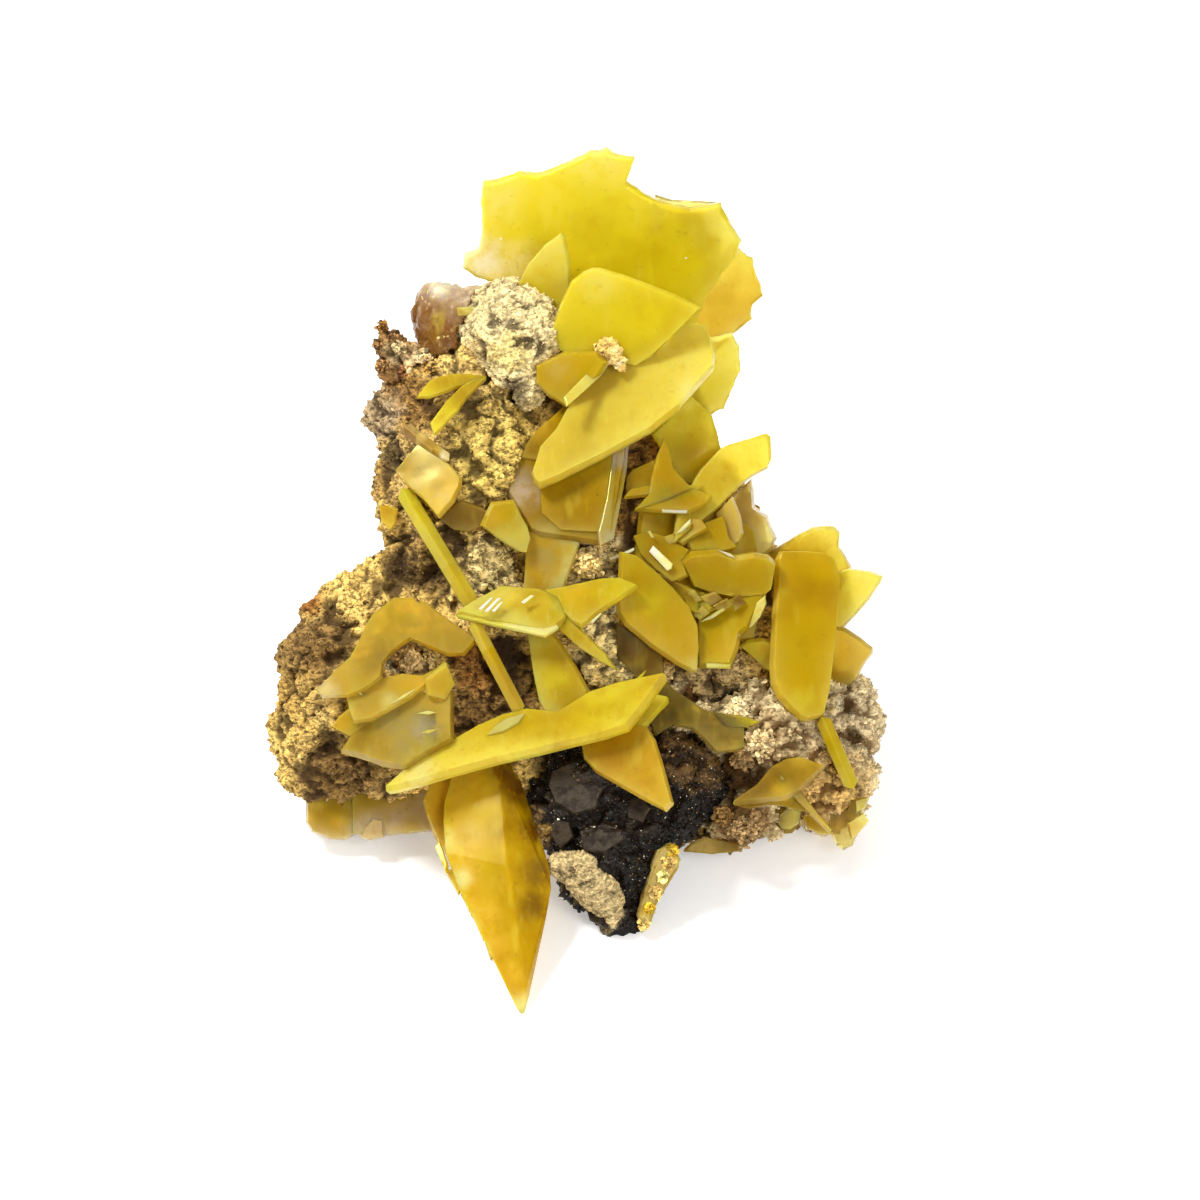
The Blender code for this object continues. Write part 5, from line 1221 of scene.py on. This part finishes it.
# Tints in the cave shade colour paint the shadow in caves and gaps of a rock, and the pit shade tint on
# the knob paints shade in a gap.
ROCKS = {
    "matrix_rock": Rock("buff_rock", "buff", 0.36, 0.8, 0.52, 0.38, 0.05, "buff_crust", [
        ("grey_crust", (440, 440), 9.0, 0.7), ("yellow_crust", (500, 450), 5.0, 0.4),
        ("brown_rock", (400, 400), 4.0, 0.8), ("violet_grey", (375, 415), 3.0, 0.7),
        ("brown_rock", (640, 480), 7.0, 0.9), ("dark_cave", (620, 590), 3.5, 0.6),
        ("bright_cream", (585, 565), 3.6, 1.0), ("pale_cream", (612, 640), 4.6, 1.0),
        ("umber", (490, 690), 5.5, 0.9), ("orange_rust", (309, 602), 1.2, 0.9),
        ("umber", (345, 780), 5.0, 0.9), ("umber", (302, 652), 5.0, 0.7),
        ("pale_cream", (498, 578), 4.2, 1.0), ("umber", (420, 562), 3.4, 0.7),
        ("dark_cave", (334, 738), 1.3, 0.6), ("dark_cave", (507, 655), 2.0, 0.9),
        ("dark_cave", (450, 545), 2.0, 0.6), ("dark_cave", (400, 572), 1.6, 0.7),
        ("umber", (318, 640), 3.4, 0.6), ("tan_rock", (295, 700), 3.0, 0.5),
        ("pale_crumb", (410, 655), 2.4, 0.9), ("grey_crust", (335, 700), 2.6, 0.5),
        ("orange_rust", (478, 668), 2.2, 0.25), ("dark_cave", (500, 370), 1.2, 0.6),
        ("dark_cave", (395, 455), 1.4, 0.7), ("brown_rock", (372, 480), 2.4, 0.5),
        ("yellow_crust", (470, 485), 2.6, 0.3), ("dark_cave", (545, 745), 2.4, 0.7),
        ("dark_cave", (430, 580), 1.8, 0.5), ("violet_grey", (700, 690), 5.0, 0.6),
    ]),
    "dark_ore_mass": Rock("dark_ore", "ore", 0.30, 0.5, 0.6, 0.25, 0.1, "ore_crust", [
        ("ore_light", (640, 815), 2.0, 0.3), ("umber", (690, 755), 3.2, 0.6),
        ("ore_light", (575, 785), 2.4, 0.5), ("ore_light", (600, 838), 2.0, 0.3),
        ("dun", (536, 812), 1.0, 0.8), ("tan_rock", (543, 832), 1.1, 0.8),
        ("patch_buff", (612, 912), 1.1, 1.0), ("patch_buff", (564, 862), 1.3, 1.0),
        ("patch_buff", (584, 878), 1.8, 1.0), ("patch_buff", (600, 894), 1.6, 1.0),
    ]),
    "pale_druse_lump": Rock("pale_druse", "pale_crumb", 0.30, 0.7, 0.8, 0.3, 0.05, "druse_crust", [
        ("violet_grey", (840, 730), 4.5, 0.6), ("dun", (770, 740), 3.5, 0.7),
        ("dark_cave", (690, 694), 1.3, 1.0), ("dark_cave", (740, 772), 2.4, 1.0),
        ("dark_cave", (853, 738), 0.8, 0.8), ("dark_cave", (846, 705), 0.9, 0.9),
        ("tan_rock", (830, 790), 4.0, 0.8), ("umber", (742, 820), 3.4, 0.9),
    ]),
    "granular_knob": Rock("pale_rock", "knob_cream", 0.24, 0.25, 0.26, 0.26, 0.25, "knob_crust", [
        ("yellow_crust", (510, 352), 2.0, 0.35), ("grey_crust", (480, 350), 1.5, 0.6),
        ("crust_gap", (515, 392), 1.4, 0.7), ("grey_crust", (560, 372), 1.6, 0.6),
    ]),
    "calcite_knob": Rock("calcite", "pink_brown", 0.26, 0.25, 0.2, 0.05, 0.15, "calcite_skin", [
        ("beige", (440, 290), 2.2, 1.0), ("beige", (480, 292), 2.0, 1.0),
    ]),
    "rust_prong": Rock("rust", "rust", 0.20, 0.25, 0.4, 0.2, 0.1, "buff_crust", [
        ("brown_rock", (386, 328), 1.6, 0.7), ("dark_cave", (404, 384), 1.0, 0.7),
        ("beige", (420, 365), 2.0, 0.8), ("beige", (394, 352), 1.2, 0.7), ("dun", (384, 340), 1.6, 0.4),
    ]),
    "calcite_crumb": Rock("pale_druse", "buff", 0.16, 0.2, 0.7, 0.3, -0.1, "pale_grains", [
        ("pale_cream", (615, 355), 0.9, 0.7)]),
    "buff_crust_patch": Rock("buff_rock", "patch_buff", 0.16, 0.08, 0.14, 0.16, 0.5, "pale_crust", []),
}


def crust_height(spot, broad, knobs, fine):
    """How far a crust stands out at a point in millimetres, and how deep in a hollow it is, 0 to 1."""
    swell = noise.fractal(spot / SWELL_SPAN, 0.9, 2.1, 3)
    twisted = spot + TWIST * noise.noise_vector(spot / TWIST_SPAN)
    flaked = Vector([part * share for part, share in zip(twisted, FLAKED)])
    lump = noise.fractal(flaked / KNOB_SPAN, 0.6, 2.2, 4)
    tooth = noise.noise(spot / TOOTH_SPAN)
    crack = max(0.0, CRACK_WIDTH - abs(noise.noise(spot / CRACK_SPAN + CRACK_OFFSET))) / CRACK_WIDTH
    pit = max(0.0, -noise.noise(flaked / PIT_SPAN + PIT_OFFSET) - PIT_LEVEL) / PIT_SLOPE
    deep = min(1.0, pit + CRACK_SHARE * crack)
    height = broad * swell + knobs * lump + fine * tooth - min(DEEPEST, HOLLOW_DEPTH * knobs) * deep
    hollow = (HOLLOW_START - KNOB_SHADE * lump - TOOTH_SHADE * tooth
              + min(DEEPEST_SHADE, HOLLOW_SHADE * knobs) * deep)
    return height, min(1.0, max(0.0, hollow))


def share_of(places, spot, radius, strength):
    """How strongly a round patch with a wandering edge covers each place."""
    across = places @ np.array(RIGHT) / SHEET_STEP + SHEET_ZERO[0]
    down = SHEET_ZERO[1] - places @ np.array(UP) / SHEET_STEP
    distance = np.hypot(across - spot[0], down - spot[1]) * SHEET_STEP / MM / radius
    wander = np.array([noise.noise(Vector(place) / PATCH_SPAN) for place in places])
    return np.clip((PATCH_END - distance - PATCH_WANDER * wander) / PATCH_FADE, 0, 1) * strength


def painted(places, rock):
    """A tint for every place, blended from the rock's base colour and its spots."""
    tints = np.tile(np.array(shade(rock.base)), (len(places), 1))
    for colour, spot, radius, strength in rock.tints:
        share = share_of(places, spot, radius, strength)[:, None]
        tints = tints * (1 - share) + np.array(shade(colour)) * share
    return tints


def spread_of(places, tints):
    """The strongest of several patches at each place."""
    return np.max([np.zeros(len(places))] + [share_of(places, *tint[1:]) for tint in tints], axis=0)


def keep_crust(mesh, tints, hollows, shades):
    """Store the tint, hollow and shade of each vertex of a mesh, for its crust."""
    for name, kind, key, values in (
        ("tint", "FLOAT_COLOR", "color", tints),
        ("hollow", "FLOAT", "value", hollows),
        ("shade", "FLOAT", "value", shades),
    ):
        made = mesh.attributes.new(name, kind, "POINT")
        made.data.foreach_set(key, np.asarray(values, np.float32).ravel())


def rock_skin(name, rock):
    """A close-meshed copy of a rock with its crust worked in."""
    start = bmesh.new()
    start.from_mesh(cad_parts[name].data)
    bmesh.ops.remove_doubles(start, verts=start.verts, dist=MERGE)
    source = bpy.data.objects.new("work", bpy.data.meshes.new("work"))
    start.to_mesh(source.data)
    start.free()
    bpy.context.scene.collection.objects.link(source)
    remesh = source.modifiers.new("close_mesh", "REMESH")
    remesh.mode = "VOXEL"
    remesh.voxel_size = rock.cell * MM
    bpy.context.view_layer.update()
    shape = bmesh.new()
    shape.from_object(source, bpy.context.evaluated_depsgraph_get())
    bpy.data.objects.remove(source)
    for _ in range(COARSE_ROUNDS if rock.cell > COARSE_CELL else 1):
        bmesh.ops.smooth_vert(shape, verts=shape.verts, factor=0.5, use_axis_x=True, use_axis_y=True,
                              use_axis_z=True)
    shape.normal_update()
    starts = np.array([vert.co for vert in shape.verts])
    # Caves are painted in shade, and sunk into the rock.
    caves = spread_of(starts, [tint for tint in rock.tints if tint[0] == "dark_cave"])
    hollows = []
    for vert, cave in zip(shape.verts, caves):
        height, hollow = crust_height(vert.co / MM, rock.broad, rock.knobs, rock.fine)
        hollows.append(min(1.0, hollow + CAVE_HOLLOW * cave))
        vert.co += (vert.normal * (height + rock.lift) - TOWARDS * (CAVE_DEPTH * cave)) * MM
    for vert in shape.verts:
        if vert.co.z < BASE_HEIGHT * 2:
            vert.co.z = 0.0
    for face in shape.faces:
        face.smooth = True
    return shape, hollows, painted(starts, rock)


def build_rock(name, rock, finishes):
    """One rock piece with its painted tint and hollows."""
    shape, hollows, tints = rock_skin(name, rock)
    piece = settle(shape, name + "_crust", finishes[rock.finish], (name,))
    keep_crust(piece.data, tints, hollows, [ROCK_SHADE] * len(hollows))
    return piece


# Crumbs lie higher than LOWEST_CRUMB. They are tumbled, flat, of any width from half their length, and
# roughened by noise.
LOWEST_CRUMB = 0.4 * MM
TUMBLE = 0.6
FLATNESS = 0.55
ROUGHNESS, ROUGHNESS_SPAN = 0.45, 0.12 * MM
# Crumbs in a hollow are painted darker, as shade, and take on this share of it.
HOLLOW_CRUMB = 0.6
# Crumbs are made in batches, which is faster than all in one mesh.
BATCH = 60
# A heap is lumpy, and its grains lie in its outer quarter.
HEAP_LUMP, HEAP_LUMPS, HEAP_LUMP_SPAN = 0.7, 0.5, 2.2
HEAP_SKIN = 0.25


def ground_spots(ground, count, seed):
    """Places strewn evenly over a rock piece, with the tint and hollow found there."""
    chance = random.Random(seed)
    mesh = ground.data
    mesh.calc_loop_triangles()
    corners = [tuple(tri.vertices) for tri in mesh.loop_triangles]
    areas = np.cumsum([tri.area for tri in mesh.loop_triangles])
    tints = np.zeros(len(mesh.vertices) * 4, np.float32)
    mesh.attributes["tint"].data.foreach_get("color", tints)
    tints = tints.reshape(-1, 4)
    hollows = np.zeros(len(mesh.vertices), np.float32)
    mesh.attributes["hollow"].data.foreach_get("value", hollows)
    spots = []
    for _ in range(count):
        tri = corners[min(int(np.searchsorted(areas, chance.random() * areas[-1])), len(corners) - 1)]
        weights = [chance.random() ** 0.5 for _ in range(3)]
        spot = sum((mesh.vertices[v].co * w for v, w in zip(tri, weights)), Vector()) / sum(weights)
        if spot.z > LOWEST_CRUMB and hollows[tri[0]] < 0.5 + 0.5 * chance.random():
            spots.append((spot, tints[tri[0]], hollows[tri[0]]))
    return spots


def heap_spots(heaps, seed):
    """Places in round heaps given as (colour, place, depth, radius in mm, count)."""
    chance = random.Random(seed)
    spots = []
    for colour, place, depth, radius, count in heaps:
        for _ in range(count):
            away = Vector([chance.gauss(0, 1) for _ in range(3)]).normalized()
            lump = noise.noise(away * HEAP_LUMP_SPAN + Vector((radius, depth, 0)))
            reach = radius * MM * (HEAP_LUMP + HEAP_LUMPS * lump)
            reach *= 1 - HEAP_SKIN + HEAP_SKIN * chance.random()
            spots.append((on_sheet(*place, depth) + away * reach, shade(colour), 0.0))
    return spots


def strew(name, spots, sizes, finish, seed):
    """Angular crumbs, one at each of the spots, with sizes in mm."""
    chance = random.Random(seed)
    whole, batch = bmesh.new(), bmesh.new()
    shades = []
    for number, (spot, _, hollow) in enumerate(spots):
        size = sizes[0] + (sizes[1] - sizes[0]) * chance.random() ** 2
        turn = Euler((TUMBLE * chance.gauss(0, 1), TUMBLE * chance.gauss(0, 1),
                      chance.random() * math.tau))
        long = size * MM
        form = Matrix.Diagonal((long, long * (0.5 + 0.5 * chance.random()), long * FLATNESS, 1))
        made = bmesh.ops.create_icosphere(
            batch, subdivisions=1, radius=1,
            matrix=Matrix.Translation(spot) @ turn.to_matrix().to_4x4() @ form)
        for vert in made["verts"]:
            vert.co += noise.noise_vector(vert.co / ROUGHNESS_SPAN) * (ROUGHNESS * long)
        # A crumb's random shade is painted darker in a hollow.
        shades.append((1 - 0.5 * hollow) * chance.random())
        if number % BATCH == BATCH - 1 or number == len(spots) - 1:
            step = bpy.data.meshes.new("step")
            batch.to_mesh(step)
            batch.clear()
            whole.from_mesh(step)
            bpy.data.meshes.remove(step)
    batch.free()
    corners = len(whole.verts) // len(spots)
    piece = settle(whole, name, finish)
    keep_crust(piece.data, np.repeat([spot[1] for spot in spots], corners, axis=0),
               np.repeat([HOLLOW_CRUMB * spot[2] for spot in spots], corners), np.repeat(shades, corners))


# Heaps of loose grains: (colour, place on the sheet, depth in mm, radius in mm, count). Each group of
# heaps has its seed.
PALE_HEAPS = [
    ("pale_cream", (588, 563), 6.2, 1.9, 700), ("pale_cream", (603, 545), 5.2, 1.2, 250),
    ("pale_cream", (598, 648), 7.2, 1.6, 500), ("pale_cream", (618, 668), 7.6, 1.7, 550),
    ("pale_cream", (628, 645), 6.6, 1.3, 300), ("pale_cream", (652, 695), 6.0, 1.3, 300),
    ("pale_crumb", (735, 712), 8.0, 1.8, 500), ("pale_crumb", (700, 712), 6.5, 1.3, 300),
    ("beige", (760, 742), 8.4, 2.0, 600), ("dun", (742, 758), 7.8, 1.4, 350),
    ("buff", (603, 352), 5.8, 0.8, 90), ("pale_crumb", (620, 364), 5.4, 0.7, 80),
    ("dun", (745, 828), 8.0, 1.9, 500), ("umber", (722, 815), 7.5, 1.3, 260),
    ("dun", (408, 655), 6.4, 1.8, 460), ("beige", (414, 662), 7.2, 1.6, 420),
]
RUST_HEAPS = [
    ("brown_rock", (383, 326), 0.6, 0.7, 110), ("rust", (394, 336), 0.6, 0.8, 120),
    ("rust", (378, 345), 0.5, 0.6, 80), ("beige", (400, 348), 0.8, 0.9, 120),
    ("rust", (382, 366), 0.4, 0.8, 100), ("beige", (424, 356), 0.6, 1.1, 180),
    ("tan_rock", (432, 372), 1.8, 1.1, 180), ("pink_brown", (405, 372), 0.8, 1.0, 120),
]
STRIP_HEAPS = [
    ("honey", (672, 848), 10.9, 0.8, 80), ("sand", (668, 860), 11.1, 0.9, 110),
    ("cream", (662, 874), 11.2, 0.8, 80), ("sand", (655, 890), 11.3, 0.9, 110),
    ("honey", (649, 906), 11.4, 0.8, 80), ("sand", (643, 920), 11.2, 0.8, 90),
]


# ---------------------------------------------------------------- studio
def place_object(name, data, place, aim):
    """Put a lamp or a camera somewhere in the studio, pointing at a place."""
    made = bpy.data.objects.new(name, data)
    made.location = place
    made.rotation_mode = "QUATERNION"
    made.rotation_quaternion = (Vector(aim) - Vector(place)).to_track_quat("-Z", "Y")
    bpy.context.scene.collection.objects.link(made)
    return made


FLOOR_SHADES = (0.90, 0.90, 0.91, 1), (0.93, 0.93, 0.93, 1)
FLOOR_CLOUD, FLOOR_CLOUD_EDGE = 60.0, (0.3, 0.7)
FLOOR_ROUGHNESS, FLOOR_GLOW = 0.7, 0.36
FLOOR_SIZE, FLOOR_GAP = 3.0, 0.02 * MM
ROOM_GLOW = 0.46
# Lamps, each with its place and its size in metres and its power in watts.
LAMPS = {
    "key_lamp": ((-0.34, 0.04, 0.64), 0.18, 5.3),
    "fill_lamp": ((0.30, -0.52, 0.45), 0.30, 2.3),
    "back_lamp": ((0.10, 0.50, 0.45), 0.35, 0.8),
}
# The sheet points that the lamps and the camera are turned to.
LAMPS_AIM, CAMERA_AIM = (577, 600), (600, 600)
CAMERA_DISTANCE, CAMERA_NEAR = 1.2, 0.01
SENSOR_MM, LENS_MM = 36, 360


def build_floor():
    """A pale floor with the faintest clouds."""
    made, tree, shader, point = new_finish("studio_floor")
    cloud = eased(tree, speckle(tree, point, FLOOR_CLOUD), *FLOOR_CLOUD_EDGE)
    plug(tree, shader["Base Color"], blended(tree, cloud, *FLOOR_SHADES))
    fix(shader, {"Roughness": FLOOR_ROUGHNESS, "Emission Color": (1, 1, 1, 1),
                 "Emission Strength": FLOOR_GLOW})
    shape = bmesh.new()
    bmesh.ops.create_grid(shape, x_segments=1, y_segments=1, size=FLOOR_SIZE)
    bmesh.ops.translate(shape, vec=(0, 0, -FLOOR_GAP), verts=shape.verts)
    mesh = bpy.data.meshes.new("studio_floor")
    shape.to_mesh(mesh)
    shape.free()
    mesh.materials.append(made)
    floor = bpy.data.objects.new("studio_floor", mesh)
    bpy.context.scene.collection.objects.link(floor)


def build_studio():
    """Floor, white surroundings, soft lamps that the camera doesn't see, and the camera."""
    build_floor()
    scene = bpy.context.scene
    world = bpy.data.worlds.new("white_room")
    world.use_nodes = True
    fix(world.node_tree.nodes["Background"].inputs, {"Color": (1, 1, 1, 1), "Strength": ROOM_GLOW})
    scene.world = world
    for name, (place, size, power) in LAMPS.items():
        lamp = bpy.data.lights.new(name, "AREA")
        lamp.shape = "SQUARE"
        lamp.size = size
        lamp.energy = power
        place_object(name, lamp, place, on_sheet(*LAMPS_AIM)).visible_camera = False
    scene.view_settings.view_transform = "Standard"
    lens = bpy.data.cameras.new("camera")
    lens.sensor_width = SENSOR_MM
    lens.lens = LENS_MM
    lens.clip_start = CAMERA_NEAR
    aim = on_sheet(*CAMERA_AIM)
    scene.camera = place_object("camera", lens, aim + TOWARDS * CAMERA_DISTANCE, aim)


# Crumbs strewn on the rocks: (name, rock, count, sizes in mm, finish, seed).
CRUMBS = [
    ("matrix_crumbs", "matrix_rock", 8600, (0.14, 0.36), "buff_crust", 11),
    ("matrix_fine_crumbs", "matrix_rock", 8600, (0.12, 0.28), "buff_crust", 12),
    ("matrix_grit", "matrix_rock", 8600, (0.10, 0.22), "buff_crust", 16),
    ("druse_crumbs", "pale_druse_lump", 6500, (0.12, 0.34), "druse_crust", 13),
    ("ore_crumbs", "dark_ore_mass", 5000, (0.10, 0.30), "sparkling_crumbs", 14),
    ("knob_crumbs", "granular_knob", 4200, (0.10, 0.24), "knob_crust", 15),
    ("patch_crumbs", "buff_crust_patch", 2600, (0.07, 0.17), "pale_crust", 17),
]
# Tiny bright grains strewn on the ore paint its glints, in the given colours.
GLITTER_COUNT, GLITTER_SEED = 2400, 21
GLITTER_COLOURS = ("dun", "milk", "umber")
CALCITE = Look("rose_smoke", "pink_brown", (455, 285), (440, 325), 0.3, 0.0,
               [("milk", (440, 289), 1.2), ("brown_rock", (432, 338), 1.6)])
# Where the chance values of the small crystals and of the ore's faces begin.
SMALL_SEED, ORE_SEED = 100, 200


def main():
    """Dress the whole specimen and set up the studio."""
    finishes = {name: crust_finish(name, crust) for name, crust in CRUSTS.items()}
    finishes["calcite_skin"] = crystal_finish("calcite", CALCITE)
    rocks = {name: build_rock(name, rock, finishes) for name, rock in ROCKS.items()}
    for name, ground, count, sizes, finish, seed in CRUMBS:
        strew(name, ground_spots(rocks[ground], count, seed), sizes, finishes[finish],
              seed)
    # Pale grains on the ore paint its glints.
    glitter = [(spot, shade(GLITTER_COLOURS[number % len(GLITTER_COLOURS)]), 0.0)
               for number, (spot, _, _) in enumerate(
                   ground_spots(rocks["dark_ore_mass"], GLITTER_COUNT, GLITTER_SEED))]
    for name, spots, sizes, finish, slot, seed in (
        ("ore_glitter", glitter, (0.04, 0.14), "pale_grains", "pale_druse", GLITTER_SEED),
        ("pale_heaps", heap_spots(PALE_HEAPS, 18), (0.14, 0.36), "pale_grains", "pale_druse", 18),
        ("strip_heaps", heap_spots(STRIP_HEAPS, 20), (0.14, 0.34), "strip_grains", "pale_druse", 20),
        ("rust_heaps", heap_spots(RUST_HEAPS, 19), (0.14, 0.34), "buff_crust", "rust", 19),
    ):
        strew(name, spots, sizes, finishes[finish], seed)
    for number, (name, crystal) in enumerate(CRYSTALS.items()):
        build_crystal(name, crystal, number, (name,))
    for number, (name, crystal) in enumerate(SMALL_CRYSTALS.items()):
        build_crystal(name, crystal, SMALL_SEED + number)
    build_crystal("ore_faces", ORE_FACES, ORE_SEED, (), ore_face_finish())
    build_studio()


main()
